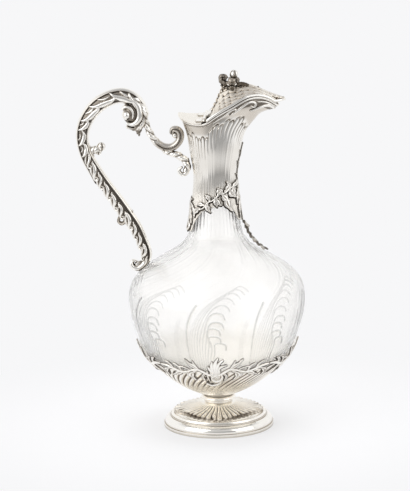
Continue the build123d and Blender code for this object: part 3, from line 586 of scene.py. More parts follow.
def plume_curves():
    """Lines of one cut plume as (mm along the belly, height), each with its depth along the way."""
    curves = []
    for number, (foot, (top_x, top_z)) in enumerate(zip(plume_feet, plume_tops)):
        rise = top_z - plume_low
        lean = 0.32 * (top_x - foot)
        points = [(foot + 1.5, plume_low), (foot, plume_low + 0.38 * rise),
                  (foot + lean, plume_low + 0.80 * rise), (top_x - 3.0, top_z - 1.0),
                  (top_x + 2.0, top_z), (top_x + 6.2, top_z - 2.0),
                  (top_x + 8.2 - 0.15 * number, top_z - 4.0 - 0.2 * number)]
        curves.append((smooth_line(points, 110), np.linspace(0.26, 0.44 + 0.03 * number, 110)))
    bold = [(-24.5, plume_low), (-25.4, 78.0), (-24.8, 98.0), (-21.0, 110.0), (-16.5, 117.0)]
    curves.append((smooth_line(bold, 90), np.linspace(0.3, 0.9, 90)))
    for shift in (-8.2, -9.8, -11.4):
        side = [(x + shift, z + 0.5 * shift) for x, z in bold[:-1]]
        curves.append((smooth_line(side, 70), np.full(70, 0.25)))
    return curves


def crystal_depth(angle, level):
    """Depth of the cutting and the grey painted into it as shade, at an angle within one unit and a height.
    """
    depth = np.zeros(angle.shape)
    radius = np.interp(level, glass_line[:, 1], glass_line[:, 0])
    low = level < plume_high
    for curve, cut in plume_curves():
        turn = curve[:, 0] / body_radius
        half = 0.35 + 0.9 * cut
        for shift in (-unit_turn, 0.0, unit_turn):
            gap_x = (angle[low][:, None] - turn - shift) * radius[low][:, None]
            gap = np.hypot(gap_x, level[low][:, None] - curve[:, 1])
            depth[low] = np.maximum(depth[low], (cut * np.clip(1 - gap / half, 0, 1)).max(axis=1))
    tone = np.clip(2.4 * depth, 0, 1)
    local = angle - swirl_turn * smooth_step(level, 104.0, 160.0)
    fade = between(level, 108.0, 118.0, 156.0, 170.0)
    for offset, cut, half_width in swirls:
        share = (local - offset + unit_turn / 2) % unit_turn - unit_turn / 2
        line = cut * fade * np.clip(1 - (share * radius / half_width) ** 2, 0, 1)
        depth = np.maximum(depth, line)
        tone = np.maximum(tone, 0.6 * line)
    share = np.abs(np.sin(angle * neck_flutes / 2))
    flute = smooth_step(level, 158.0, 172.0) * (1 - share ** 0.8)
    return depth + 0.35 * flute, tone + 0.15 * flute


def make_crystal():
    """Closed crystal body, cut outside and smooth inside."""
    unit_columns = 80
    fine = 1200
    even = smooth_line(outline, fine)
    number = np.arange(fine)
    seen = (even[:, 1] > cut_from) & (even[:, 1] < cut_to)
    weight = np.cumsum(np.where(seen, np.where(even[:, 1] < fine_to, 1.0, 0.5), 0.22))
    spots = np.interp(np.linspace(weight[0], weight[-1], crystal_rows), weight, number)
    line, side = (np.stack([np.interp(spots, number, values[:, i]) for i in (0, 1)], axis=1)
                  for values in (even, line_normals(even)))
    unit_angles = np.arange(unit_columns) * unit_turn / unit_columns - unit_turn / 2
    one_unit = crystal_depth(*np.meshgrid(unit_angles, line[:, 1]))
    depth, tone = (np.tile(part, (1, units)) for part in one_unit)
    angles = plume_start + np.arange(units * unit_columns) * unit_turn / unit_columns - unit_turn / 2
    share = (line[:, 1] - glass_floor) / base_rise
    wall = glass_wall + (glass_base - glass_wall) * np.clip(1 - share, 0, 1) ** 1.5
    inside = line - side * wall[:, None]
    inside[:, 1] = np.maximum(inside[:, 1], glass_floor + glass_base)
    make_turned("crystal_body", turned_grid(line, angles, side, -depth), turned_grid(inside, angles), tone,
                ["glass_body"], crystal_look, (glass_floor, glass_floor + glass_base), True)


make_crystal()


# Silver cup under the crystal, with leaning lobes between a smooth foot and the border
def make_cup():
    """Closed cup shell with lobes."""
    lobes = 54
    lobe_depth = 0.8
    lobe_start = 36.0
    lobe_rise = 24.0
    lobe_lean = math.radians(30)
    rows, columns = cup_grid
    levels = np.linspace(glass_floor + 0.15, cup_edge, rows)
    angles = full_turn(columns)
    angle, level = np.meshgrid(angles, levels)
    lean = lobe_lean * (level - lobe_start) / lobe_rise
    share = np.abs(np.sin((angle - lean) * lobes / 2))
    window = between(level, lobe_start, lobe_start + 10, cup_edge - 3, cup_edge)
    line, inside = (np.stack(glass_at(levels, lift), axis=1) for lift in (cup_gap + cup_wall, cup_gap))
    outer = turned_grid(line, angles, line_normals(line), -lobe_depth * window * (1 - share ** 0.7))
    # Valleys between the lobes are painted dark as tarnish and shade
    make_turned("cup", outer, turned_grid(inside, angles), 0.95 * window * smooth_step(1 - share, 0.2, 0.8),
                ["base_cup"], satin_look, (cup_floor, cup_floor + cup_wall))


make_cup()


# Border of the cup, drawn as it is seen from straight ahead: x across, z up
def border_strokes():
    """Strokes of one quarter of the border: shell, cartouche, scrolls and leafy branches."""
    strokes = []
    for root, tip, width in ((-0.4, (-4.8, 65.4), 1.5), (0.4, (-1.4, 69.6), 1.7), (1.2, (3.4, 73.0), 2.0),
                             (2.0, (7.4, 71.2), 1.6), (2.8, (9.8, 66.6), 1.2)):
        middle = (0.5 * (root + tip[0]) - 1.5, 0.5 * (59.0 + tip[1]) + 1.6)
        strokes.append(stroke([(root, 59.0), middle, tip], [0.6, width, 0.8], 1.2))
    strokes.append(stroke([(0.6, 61.0), (0.8, 56.0), (0.4, 51.0)], [4.8, 4.6, 3.6], 0.7, "flat"))
    scroll = [(5.0, 58.6), (6.2, 55.4), (5.0, 51.8), (1.8, 50.2), (-1.4, 51.4), (-1.9, 54.6), (0.4, 56.2),
              (2.2, 54.6)]
    strokes.append(stroke(scroll, [0.7, 1.1, 1.3, 1.3, 1.1, 1.0, 0.9, 0.7], 1.5))
    tail = [(5.6, 53.4), (4.6, 48.6), (0.8, 45.8), (-3.8, 45.6), (-6.4, 48.0)]
    strokes.append(stroke(tail, [0.8, 1.2, 1.4, 1.2, 0.6], 1.2))
    strokes.append(stroke([(-5.6, 60.6), (-5.4, 56.0), (-4.0, 50.5)], [0.8, 1.1, 0.6], 1.0))
    branch = [stroke([(3.6, 57.0), (8.5, 60.0), (13.0, 62.4), (18.0, 61.6), (24.0, 59.2), (31.0, 60.6),
                      (38.0, 63.0), (43.0, 63.6)], [1.2, 1.4, 1.1, 1.0, 1.2, 1.2, 1.1, 0.9], 1.3),
              leaf([(10.0, 61.0), (15.0, 64.6), (19.6, 67.8), (23.2, 71.4)], [0.6, 1.5, 1.9, 0.7], 1.2, 2),
              leaf([(13.0, 63.6), (15.6, 67.0), (17.4, 70.6)], [0.5, 1.2, 0.5], 1.0, 1),
              leaf([(19.4, 61.6), (24.0, 63.6), (28.8, 64.0)], [0.5, 1.2, 0.5], 1.0, 1),
              leaf([(26.6, 60.4), (29.2, 64.4), (33.0, 66.6)], [0.6, 1.4, 0.5], 1.1, 1),
              leaf([(33.4, 62.0), (36.0, 65.6), (39.6, 67.6)], [0.6, 1.4, 0.5], 1.1, 1),
              leaf([(23.4, 59.4), (28.6, 57.6), (33.4, 54.4)], [0.8, 2.4, 0.7], 1.2, 2),
              leaf([(6.8, 59.0), (9.4, 55.4), (7.6, 51.2)], [0.9, 1.8, 0.6], 1.1, 1),
              leaf([(14.4, 61.4), (18.4, 57.2), (15.0, 51.4)], [0.9, 2.5, 0.6], 1.2, 2),
              leaf([(20.0, 60.6), (21.6, 57.6), (20.2, 54.4)], [0.7, 1.3, 0.5], 1.0, 1),
              leaf([(35.0, 61.8), (39.4, 58.0), (37.0, 53.4)], [0.8, 2.1, 0.6], 1.1, 2)]
    return bedded(strokes + mirrored(branch), 0.3, 0.65)


border_low = 44.0
border_reach = 31.0
border_span = math.radians(89.6)


def border_place(turn):
    """Surface of the border over a quarter of the cup."""

    def place(down, across):
        radius, height = glass_at(border_low + border_reach * down, border_lift)
        angle = turn + border_span * (across - 0.5)
        return np.stack([radius * np.sin(angle), -radius * np.cos(angle), height], axis=2)

    return place


border = border_strokes()
for quarter, node in enumerate(("front", "right", "back", "left")):
    turn = quarter * math.pi / 2
    casting(f"border_{node}", border, 0.35, (110, 300), border_place(turn), turn, [f"cup_border_{node}"])

# Foot skirt with long flutes that run out in scallops
foot_step_radius = 39.7
skirt_floor = 9.5
skirt_height = 10.5
knop_neck_radius = 11.2
flute_end_radius = 34.6
skirt_wall = 3.1
skirt_flutes = 44
skirt_shape = [(1.0, 0.0), (0.99, 0.10), (0.925, 0.35), (0.765, 0.50), (0.48, 0.62), (0.20, 0.76),
               (0.0, 1.0)]
skirt_reach = foot_step_radius - 0.4 - knop_neck_radius


def make_skirt():
    """Closed skirt shell with flutes, painted dark in their valleys as tarnish and shade, and with dark
    arches of painted shadow on the steps at their outer ends.
    """
    rows, columns = skirt_grid
    line = smooth_line(sized(skirt_shape, knop_neck_radius, skirt_reach, skirt_floor, skirt_height), rows)
    side = line_normals(line)
    angles = full_turn(columns)
    angle, radius = np.meshgrid(angles, line[:, 0])
    share = np.abs(np.sin(angle * skirt_flutes / 2))
    wave = 2.4 * np.cos(4 * angle) + 0.4 * np.cos(9 * angle + 1.0) - 2.6 * (1 - share) ** 1.5
    past_end = radius - (flute_end_radius + wave)
    window = smooth_step(radius, 12.5, 16.0) * (1 - smooth_step(past_end, -0.7, 0.7))
    notch = smooth_step(np.cos(skirt_flutes / 2 * angle + 0.9 * np.sin(5 * angle)), 0.45, 0.95)
    notch = notch * smooth_step(past_end, -7.0, -2.0) * (0.7 + 0.3 * np.sin(7 * angle))
    depth = -0.9 * window * (1 - share ** 0.6) - 1.3 * notch * window
    depth -= 2.3 * smooth_step(past_end, -0.2, 0.5) * (1 - smooth_step(radius, 37.6, 38.8))
    # Painted shadow on the steep step at each flute's end
    arch = np.exp(-((past_end - 0.1) / 0.8) ** 2) * (0.8 + 0.2 * np.sin(5 * angle))
    valley = 0.95 * window * smooth_step(1 - share, 0.40, 0.90)
    inside = line - side * skirt_wall
    inside[:, 1] = np.maximum(inside[:, 1], skirt_floor)
    make_turned("skirt", turned_grid(line, angles, side, depth), turned_grid(inside, angles),
                np.maximum(valley, np.maximum(0.95 * arch, notch * window)), ["foot_skirt"], satin_look)


make_skirt()

# Neck mount
neck_wall = 1.0
neck_clearance = 0.4 + 2 * seat + neck_wall
neck_reeds = 78
neck_tongues = 46

# Flare of the neck: share of its height, then of its reach to the front, to the rear and to the sides
flare_stations = [(0.327, 0.10, 0.326, 0.56), (0.545, 0.19, 0.52, 0.80), (0.655, 0.29, 0.74, 0.88),
                  (0.745, 0.405, 0.913, 0.94), (0.827, 0.515, 1.0, 0.97), (0.882, 0.69, 1.0, 0.99),
                  (0.936, 0.885, 1.01, 1.0), (1.0, 1.0, 1.02, 1.0), (1.11, 1.03, 1.03, 1.0),
                  (1.24, 1.04, 1.04, 1.0)]
neck_stations = []
for level in (neck_root - 9, neck_root, neck_root + 15, neck_root + 30, waist_level):
    ring = float(np.interp(level, glass_line[:, 1], glass_line[:, 0])) + neck_clearance
    neck_stations.append((level, ring, ring, ring, 0.0))
for up, front, rear, side in flare_stations:
    neck_stations.append((waist_level + up * flare_height,
                          waist_radius + rear * (mouth_rear - waist_radius),
                          waist_radius + front * (mouth_front - waist_radius),
                          waist_radius + side * (mouth_half_width - waist_radius),
                          mouth_point * min(front, 1.0) ** 0.8))
point_weight = np.array([1.0, 1.0, 1.0, 1.0, 10.0])
neck_fine = smooth_line(np.array(neck_stations) * point_weight, 500) / point_weight


def pointed_oval(turn, rear, front, half_width, point, grow):
    """Outline of the neck or the lid seen from above, grown by a distance."""
    x = (front - rear) / 2 + ((front + rear) / 2 + grow) * np.cos(turn)
    return x, (half_width + grow) * np.sin(turn) * (1 - point * np.cos(turn))


def neck_point(turn, level, grow):
    """Points on the outside of the neck mount, grown by a distance."""
    sizes = (np.interp(level, neck_fine[:, 0], neck_fine[:, i]) for i in range(1, 5))
    x, y = pointed_oval(turn, *sizes, grow)
    return np.stack([x, y, level + 0 * x], axis=-1)


rim_shape = [(-0.06, 0.30), (0.04, 0.075), (0.13, 0.01), (0.20, 0.0), (0.244, 0.02), (0.31, 0.17),
             (0.42, 0.45), (0.54, 0.70), (0.65, 0.93), (0.755, 1.0), (0.85, 0.91), (0.94, 0.66),
             (0.985, 0.42), (1.01, 0.20)]
rim_line = smooth_line(sized(rim_shape, -mouth_rear, mouth_front + mouth_rear, saddle_level,
                             crest_level - saddle_level), 400)
rim_side = line_normals(rim_line)


def rim_height(x, above=0.0):
    """Height of the rim line at x, moved square to itself by a distance."""
    line = rim_line - above * rim_side
    return np.interp(x, line[:, 0], line[:, 1])


def level_where(turn, low, high, over):
    """Height on the neck mount, at each turn, where over(point) changes sign."""
    low = np.full(turn.shape, float(low))
    high = np.full(turn.shape, float(high))
    for _ in range(40):
        middle = (low + high) / 2
        above = over(neck_point(turn, middle, 0.0)) > 0
        high = np.where(above, middle, high)
        low = np.where(above, low, middle)
    return (low + high) / 2


sheath_edge = [(-26.0, 165.5), (-20.5, 165.5), (-17.5, 172.0), (-13.0, 179.5), (-8.7, 184.0), (-3.0, 186.0),
               (4.0, 187.5), (9.0, 187.5), (14.0, 185.0), (18.0, 179.0), (21.0, 173.5), (26.0, 172.5)]
edge_line = smooth_line(sheath_edge, 200)


def rim_level(turn, above=0.0):
    """Height of the rim on the neck mount at each turn."""
    return level_where(turn, 250.0, 281.0, lambda p: p[..., 2] - rim_height(p[..., 0], above))


def above_edge(points):
    """Height of points above the lower edge of the neck mount."""
    return points[..., 2] - np.interp(points[..., 0], edge_line[:, 0], edge_line[:, 1])


def make_neck():
    """Neck mount: reeds below, plain waist, tongues under a plain band."""
    rows, columns = neck_grid
    turns = full_turn(columns)
    top = rim_level(turns)
    low = level_where(turns, 160.0, 190.0, above_edge)
    level = low + (top - low) * np.linspace(0, 1, rows)[:, None]
    turn = turns + 0 * level
    under = top - level
    plain = between(level, 198.0, 210.0, 232.0, 246.0)
    streaks = (np.sin(23 * turn + 1.3 * np.sin(5 * turn)) + 0.7 * np.sin(41 * turn + 0.7)
               + 0.5 * np.sin(64 * turn))

    reed = np.abs(np.sin(turn * neck_reeds / 2))
    reed_window = 1 - smooth_step(level, 196.0, 216.0 + 4 * np.cos(3 * turn))

    cell = turn * neck_tongues / (2 * math.pi)
    number = np.floor(cell)
    across = 2 * (cell - number) - 1
    band = 10.8 + 6.4 * smooth_step(np.cos(turn), -0.5, 0.6)
    arch = band + 1.6 * np.sin(number * 2.4) + 1.3 * np.sin(number * 5.1) + 1.6 * across ** 2
    tongue_end = 24.0 + 0.6 * (band - 10.5) + 3.0 * np.sin(number * 1.7)
    tongue = between(under, arch - 0.35, arch + 0.35, tongue_end, tongue_end + 7.0)
    arch_rim = np.exp(-((under - arch - 0.3) / 0.95) ** 2)
    strength = (0.65 + 0.35 * np.sin(number * 3.3)) * (1 - smooth_step(under, arch + 3.0, arch + 14.0))

    lift = -0.38 * reed_window * (1 - reed ** 0.9) + 0.055 * plain * streaks
    lift -= tongue * (0.6 - 0.6 * np.sqrt(np.clip(1 - across ** 2, 0, 1)))
    lift -= 0.35 * arch_rim
    # Painted dark as tarnish and shade: the reed grooves, the tongues' arches and edges, and a band under the
    # rim; the plain waist is a little darker all over
    tarnish_and_shade = 0.7 * reed_window * (1 - reed) ** 1.6
    for tone in ((0.85 + 0.15 * np.sin(number * 4.1)) * arch_rim,
                 strength * tongue * smooth_step(np.abs(across), 0.6, 1.0),
                 0.36 * (1 - smooth_step(under - band, -3.0, 1.0)),
                 0.12 * plain):
        tarnish_and_shade = np.maximum(tarnish_and_shade, tone)
    outer = neck_point(turn, level, 0.0)
    normal = grid_normals(outer, True)
    make_turned("neck", outer + lift[..., None] * normal, outer - neck_wall * normal, tarnish_and_shade,
                ["neck_sheath"], polished_look)


make_neck()


def make_rim():
    """Round bead under the rim, with a fillet below it."""
    turns = full_turn(rim_columns)
    # The last number of each step is how dark it is painted: the fillet under the bead is painted dark as
    # shade
    loop = [(0.0, 0.05, 0.0), (0.0, 0.9, 0.0), (0.12, 1.25, 0.0), (0.45, 1.48, 0.0), (0.9, 1.5, 0.0),
            (1.3, 1.35, 0.1), (1.6, 1.05, 0.5), (1.75, 0.6, 0.95), (1.9, 0.42, 0.95), (2.3, 0.45, 0.5),
            (2.7, 0.40, 0.3), (3.0, 0.22, 0.9), (3.0, 0.05, 0.9)]
    rings = np.stack([neck_point(turns, rim_level(turns, -down), out) for down, out, _ in loop], axis=1)
    shape = (rings.reshape(-1, 3), grid_faces(len(turns), len(loop), True, True), [])
    tarnish_and_shade = np.tile([tone for *_, tone in loop], len(turns))
    make_piece("rim_bead", shape, tarnish_and_shade, ["rim_moulding"], polished_look)


make_rim()


# Castings on the neck, drawn as seen from the side or from the spout
def neck_place(start, end, low, high):
    """Surface just off the neck mount between two turns in degrees and two heights."""
    start, end = math.radians(start), math.radians(end)

    def place(down, across):
        return neck_point(start + (end - start) * across, low + (high - low) * down, 0.1)

    return place


branch = [stroke([(-12.0, 184.5), (-8.4, 186.4), (-5.0, 190.6), (0.0, 193.2), (4.0, 197.2), (9.0, 198.6),
                  (12.6, 202.0), (17.0, 203.2)], [0.5, 0.7, 0.6, 0.8, 0.6, 0.7, 0.6, 0.5], 1.2)]

# Leaves of the branch: foot x and z, reach x and z, and half width
branch_leaves = ((-8.0, 188.5, -5.5, -0.5, 1.6), (-3.5, 192.0, -3.5, 5.0, 1.7), (0.5, 195.0, 5.0, -6.5, 2.0),
                 (3.0, 196.4, 0.2, 6.0, 1.8), (6.5, 198.2, 5.5, -7.0, 2.2), (8.5, 199.4, 2.6, 5.6, 1.9),
                 (12.0, 201.2, 4.5, -7.5, 2.2), (13.5, 202.0, 3.8, 4.6, 1.6), (-5.5, 190.0, 2.5, -7.0, 1.9),
                 (9.5, 197.0, 4.6, -14.0, 2.2), (-11.5, 185.5, -4.5, -5.5, 1.7),
                 (2.0, 194.4, 0.4, -7.0, 1.8), (14.6, 202.0, 1.6, -7.0, 1.7), (6.0, 197.4, -2.6, 4.8, 1.4),
                 (11.4, 200.6, -1.4, 6.6, 1.5))
for x, z, dx, dz, width in branch_leaves:
    middle = (x + 0.5 * dx + 0.12 * dz, z + 0.5 * dz - 0.12 * dx)
    branch.append(leaf([(x, z), middle, (x + dx, z + dz)], [0.8, 1.15 * width, 0.5], 1.2, 2))
branch = bedded(branch, 0.5)

drape = [stroke([(0, 237.0), (0.3, 226.0), (-0.3, 214.0), (0, 204.0)], [0.4, 0.8, 0.9, 0.9], 0.8),
         leaf([(0, 206.0), (0.4, 192.0), (0, 171.5)], [0.9, 2.6, 0.5], 0.9, 4)]
drape += mirrored([leaf([(0.5, 205.0), (3.0, 199.0), (5.0, 191.5)], [0.6, 1.7, 0.4], 0.85, 3),
                   leaf([(0.5, 197.0), (2.6, 189.5), (3.6, 181.5)], [0.6, 1.5, 0.4], 0.85, 3),
                   leaf([(0.2, 206.0), (2.0, 210.0), (4.6, 212.0)], [0.6, 1.2, 0.4], 0.85, 2),
                   leaf([(1.0, 202.0), (5.4, 196.5), (8.4, 188.0)], [0.7, 2.1, 0.5], 1.2, 4),
                   leaf([(1.5, 193.0), (5.4, 186.0), (7.0, 177.0)], [0.7, 2.0, 0.5], 1.2, 3),
                   leaf([(0.2, 216.0), (1.9, 220.0), (3.4, 222.0)], [0.5, 1.1, 0.4], 1.0, 1),
                   leaf([(0.2, 226.0), (1.7, 229.0), (2.8, 231.0)], [0.5, 1.0, 0.4], 1.0, 1)])
drape = bedded(drape, 0.5)
bundle = [leaf([(0, 187.0), (0.2, 178.0), (0, 165.8)], [0.9, 2.2, 0.5], 0.9, 4)]
bundle += mirrored([leaf([(0.6, 187.0), (3.8, 179.0), (6.4, 170.5)], [0.7, 2.0, 0.5], 0.85, 4),
                    leaf([(0.6, 185.0), (2.4, 177.0), (3.4, 168.0)], [0.7, 1.6, 0.5], 0.85, 3),
                    leaf([(1.0, 188.5), (6.6, 181.5), (11.0, 172.5)], [0.9, 2.4, 0.6], 1.2, 4),
                    leaf([(3.0, 188.5), (9.5, 185.5), (13.5, 178.5)], [0.8, 1.9, 0.5], 1.1, 3),
                    stroke([(7.0, 173.0), (9.0, 168.6), (6.4, 166.2), (4.4, 168.0)],
                           [0.8, 1.3, 1.1, 0.6], 1.3),
                    leaf([(0.6, 187.0), (4.4, 191.0), (7.6, 191.6)], [0.6, 1.6, 0.4], 1.0, 2)])
bundle = bedded(bundle, 0.5)
# The first stroke is painted shade in the hollow under the lip scrolls
lip = [stroke([(11.0, 263.8), (18.0, 267.0), (26.0, 270.6), (34.0, 271.2), (41.0, 269.6), (47.0, 265.0)],
              [0.8, 1.7, 2.3, 2.6, 2.4, 1.6], 0.2, "shade"),
       stroke([(0.0, 256.6), (6.0, 260.4), (12.0, 264.4), (16.6, 267.4), (18.8, 267.0), (18.4, 265.2),
               (16.8, 265.2)], [0.4, 0.7, 0.8, 0.8, 0.9, 0.8, 0.5], 1.0),
       stroke([(14.0, 262.8), (20.0, 266.6), (27.0, 271.4), (32.0, 272.6), (34.4, 270.6), (32.8, 268.4),
               (30.6, 269.2)], [0.5, 0.8, 0.9, 1.0, 1.1, 1.0, 0.6], 1.1),
       stroke([(30.0, 265.6), (38.0, 268.0), (44.0, 268.8), (48.4, 266.0), (48.6, 262.2), (45.8, 260.4),
               (43.6, 262.2)], [0.5, 0.8, 1.1, 1.3, 1.3, 1.1, 0.7], 1.3),
       stroke([(36.0, 272.6), (43.0, 271.4), (49.4, 267.6)], [0.5, 0.9, 0.7], 1.0)]

# Castings: name, strokes, thickness, grid, turns in degrees, heights, and turn that they are seen from
for name, strokes, thickness, grid, (start, end), (low, high), view in (
        ("neck_branch_front", branch, 0.3, (130, 240), (-165, -12), (176.0, 212.0), 0.0),
        ("neck_branch_back", branch, 0.3, (130, 240), (12, 165), (176.0, 212.0), 0.0),
        ("spout_drape", drape, 0.35, (200, 90), (-34, 34), (168.0, 240.0), math.pi / 2),
        ("handle_drape", bundle, 0.35, (110, 130), (130, 230), (163.0, 195.0), math.pi / 2),
        ("lip_scroll_front", lip, 0.2, (110, 220), (-125, -6), (248.0, 276.0), 0.0),
        ("lip_scroll_back", lip, 0.2, (110, 220), (6, 125), (248.0, 276.0), 0.0)):
    casting(name, strokes, thickness, grid, neck_place(start, end, low, high), view, [name])


# Solid parts that are joined into one piece: each is its points, faces and age
def make_joined(name, parts, nodes, body="ewer", look=chased_look):
    """Make one piece from several closed parts."""
    points, quads, tarnish_and_shade_values = zip(*parts)
    starts = np.cumsum([0] + [len(part) for part in points])
    faces = np.concatenate([part + start for part, start in zip(quads, starts)])
    make_piece(name, (np.concatenate(points), faces, []), np.concatenate(tarnish_and_shade_values), nodes, look, body)


def darker(part, least):
    """The same part, at least this dark all over."""
    points, quads, tarnish_and_shade = part
    return points, quads, np.maximum(tarnish_and_shade, least)


def capped_tube(rings, tarnish_and_shade):
    """Close a grid of rings with a fine hood at each end."""
    rows, columns = rings.shape[:2]
    points = [rings.reshape(-1, 3)]
    tarnish_and_shade_values = [tarnish_and_shade.ravel()]
    quads = [grid_faces(rows, columns, False, True)]
    total = rows * columns
    for row, step in ((0, 1), (rows - 1, -1)):
        middle = rings[row].mean(axis=0)
        out = middle - rings[row + step].mean(axis=0)
        out = out / np.linalg.norm(out) * 0.35 * np.linalg.norm(rings[row] - middle, axis=1).mean()
        previous = np.arange(columns) + row * columns
        for share in (0.7, 0.35, 0.04):
            points.append(middle + share * (rings[row] - middle) + out * math.sqrt(1 - share ** 2))
            tarnish_and_shade_values.append(tarnish_and_shade[row])
            ring = np.arange(columns) + total
            quads.append(np.stack([previous, np.roll(previous, -1), np.roll(ring, -1), ring], axis=1))
            previous = ring
            total += columns
        left, right = previous[:columns // 2], previous[::-1][:columns // 2]
        quads.append(np.stack([left[:-1], left[1:], right[1:], right[:-1]], axis=1))
    return np.concatenate(points), np.concatenate(quads), np.concatenate(tarnish_and_shade_values)


def tube(stations, rows, columns, relief=None, middle_y=0.0):
    """Closed bar along stations of x, z, half thickness and half width, with a relief on it."""
    line = smooth_line(stations, rows)
    centre = np.stack([line[:, 0], np.full(rows, middle_y), line[:, 1]], axis=1)
    way = unit_rows(np.gradient(centre, axis=0))
    normal = np.stack([-way[:, 2], 0 * way[:, 0], way[:, 0]], axis=1)
    run = run_along(centre)
    along, turn = np.meshgrid(run, full_turn(columns), indexing="ij")
    lift, tarnish_and_shade = (0 * turn, 0 * turn) if relief is None else relief(along, turn, run[-1])
    thick, wide = line[:, 2][:, None] + lift, line[:, 3][:, None] + lift
    rings = (centre[:, None] + normal[:, None] * (thick * np.cos(turn))[:, :, None]
             + np.array([0.0, 1.0, 0.0]) * (wide * np.sin(turn))[:, :, None])
    return capped_tube(rings, tarnish_and_shade)


def leafy(marks, lean, depth):
    """Relief of leaves that lie slantwise over a bar between marks along it."""
    marks = np.asarray(marks, float)

    def relief(along, turn, length):
        side = np.cos(turn)
        place = along - lean * side - 0.2 * lean * side ** 2
        cell = np.clip(np.searchsorted(marks, place), 1, len(marks) - 1)
        share = np.clip((place - marks[cell - 1]) / (marks[cell] - marks[cell - 1]), 0, 1)
        crest = np.sin(math.pi * share ** 1.5)
        lift = depth * (crest - 0.6 + 0.16 * np.cos(6 * math.pi * share) * crest)
        # Painted dark where each leaf meets the next, as tarnish and as the shade of its steep drop
        tarnish_and_shade = np.clip(np.exp(-share / 0.10) + np.exp(-(1 - share) / 0.07), 0, 1)
        ends = smooth_step(along, 0.0, 3.0) * smooth_step(length - along, 0.0, 3.0)
        return lift * ends, 0.9 * tarnish_and_shade * ends

    return relief


def grip_relief(along, turn, length):
    """Relief of the grip: a channel with curls in it, between plain strands."""
    side = np.cos(turn)
    lower = smooth_step(along, 105.0, 130.0)
    height, dark = relief_of(grip_curls, along, 5.5 * side)
    curl = smooth_step(height, -0.1, 0.2)
    outer_edge = -0.74 - 0.5 * lower
    inner_edge = 0.62
    bed = between(side, outer_edge, outer_edge + 0.10, inner_edge, inner_edge + 0.08)
    lift = bed * (np.maximum(height, 0.0) * curl - 1.1) + 0.2 * (1 - bed)
    # The channel, the curls' edges and the lines along the channel's edges are painted dark as tarnish and
    # shade
    tarnish_and_shade = bed * ((1 - curl) * (0.62 + 0.14 * lower) + 0.8 * curl * dark)
    for edge in (outer_edge + 0.06, inner_edge + 0.02):
        tarnish_and_shade = np.maximum(tarnish_and_shade, 0.95 * np.exp(-((side - edge) / 0.06) ** 2))
    ends = smooth_step(along, 0.0, 4.0) * smooth_step(length - along, 0.0, 6.0)
    return lift * ends, tarnish_and_shade * ends


def furrowed(leaves_to, depth):
    """Relief of a bar with a furrow along each face, and slanting leaves over its first stretch."""
    slant = leafy([-4, 5, 13, 21, 30, 60, 120], 4.0, depth)

    def relief(along, turn, length):
        side = np.cos(turn)
        leaf_lift, leaf_tarnish_and_shade = slant(along, turn, length)
        plain = smooth_step(along, leaves_to - 3.0, leaves_to + 3.0)
        furrow = np.exp(-((side + 0.15) / 0.22) ** 2)
        lift = (1 - plain) * leaf_lift - 0.8 * plain * furrow
        # The furrow is painted dark as tarnish and shade
        return lift, np.maximum((1 - plain) * leaf_tarnish_and_shade, plain * (0.28 + 0.6 * furrow))

    return relief


def leaf_blade(path, widths, cup, thickness, notches, side=(0, 1, 0), rows=48, columns=15):
    """Curled leaf along a path of (x, z) or (x, y, z), with lobed edges and a vein."""
    path = np.asarray(path, float)
    if path.shape[1] == 2:
        path = np.insert(path, 1, 0.0, axis=1)
    line = smooth_line(path, rows)
    way = unit_rows(np.gradient(line, axis=0))
    side = np.asarray(side, float)
    side = unit_rows(side - (way @ side)[:, None] * way)
    normal = np.cross(way, side)
    share = np.linspace(0, 1, rows)
    width = np.interp(share, np.linspace(0, 1, len(widths)), widths)
    width = width * (1 - 0.32 * np.abs(np.sin(math.pi * notches * share)) ** 4)
    across = np.linspace(-1, 1, columns)
    vein = np.exp(-(across / 0.16) ** 2)
    ribs = 0.12 * np.cos(2 * math.pi * (2 * notches + 1) * (share[:, None] - 0.12 * np.abs(across)))
    bend = cup * across ** 2 * width[:, None] - 0.28 * vein + ribs
    spread = side[:, None] * (width[:, None] * across)[:, :, None]
    middle = line[:, None] + spread + normal[:, None] * bend[:, :, None]
    half = 0.5 * thickness * (0.35 + 0.65 * np.sqrt(np.clip(1 - across ** 2, 0, 1)))[None, :, None]
    points, quads = shell_mesh(middle + normal[:, None] * half, middle - normal[:, None] * half)
    # Vein, edges and rib hollows are painted dark as tarnish and shade
    tarnish_and_shade = np.maximum(0.8 * vein + 0 * share[:, None], 0.5 * smooth_step(np.abs(across), 0.8, 1.0))
    tarnish_and_shade = np.maximum(tarnish_and_shade, 0.5 * smooth_step(-ribs, 0.03, 0.12))
    return points, quads, np.tile(tarnish_and_shade.ravel(), 2)


def ball(middle, radius, stretch=1.0, grooves=0):
    """Closed bud, stretched upwards, with grooves round it."""
    top = math.pi / 2 - 0.02
    up, turn = np.meshgrid(np.linspace(-top, top, 36), full_turn(48), indexing="ij")
    cut = np.abs(np.cos(turn * grooves / 2)) ** 6 if grooves else 0 * turn
    size = radius * (1 - 0.14 * cut)
    flat = size * np.cos(up)
    rings = np.stack([flat * np.cos(turn), flat * np.sin(turn), stretch * size * np.sin(up)], axis=2)
    # Grooves are painted dark as tarnish and shade
    return capped_tube(np.array(middle) + rings, 0.8 * cut)


# Lid: edge moulding with its beak, and a scaled dome
lid_gap = 0.35
lid_edge_height = 2.1
lid_edge_width = 3.6
lid_reach = 58.3
lid_back = -4.9
dome_start = -1.7
dome_end = mouth_front - 2.5
crown_height = 13.0
beak_start = 46.0
beak_plate = 1.2
dome_wall = 0.9
scale_size = 5.2
crest_dark = 0.78


def lid_plan(turn, grow, front):
    """Lid's outline seen from above."""
    return pointed_oval(turn, mouth_rear, front, mouth_half_width, mouth_point, grow)


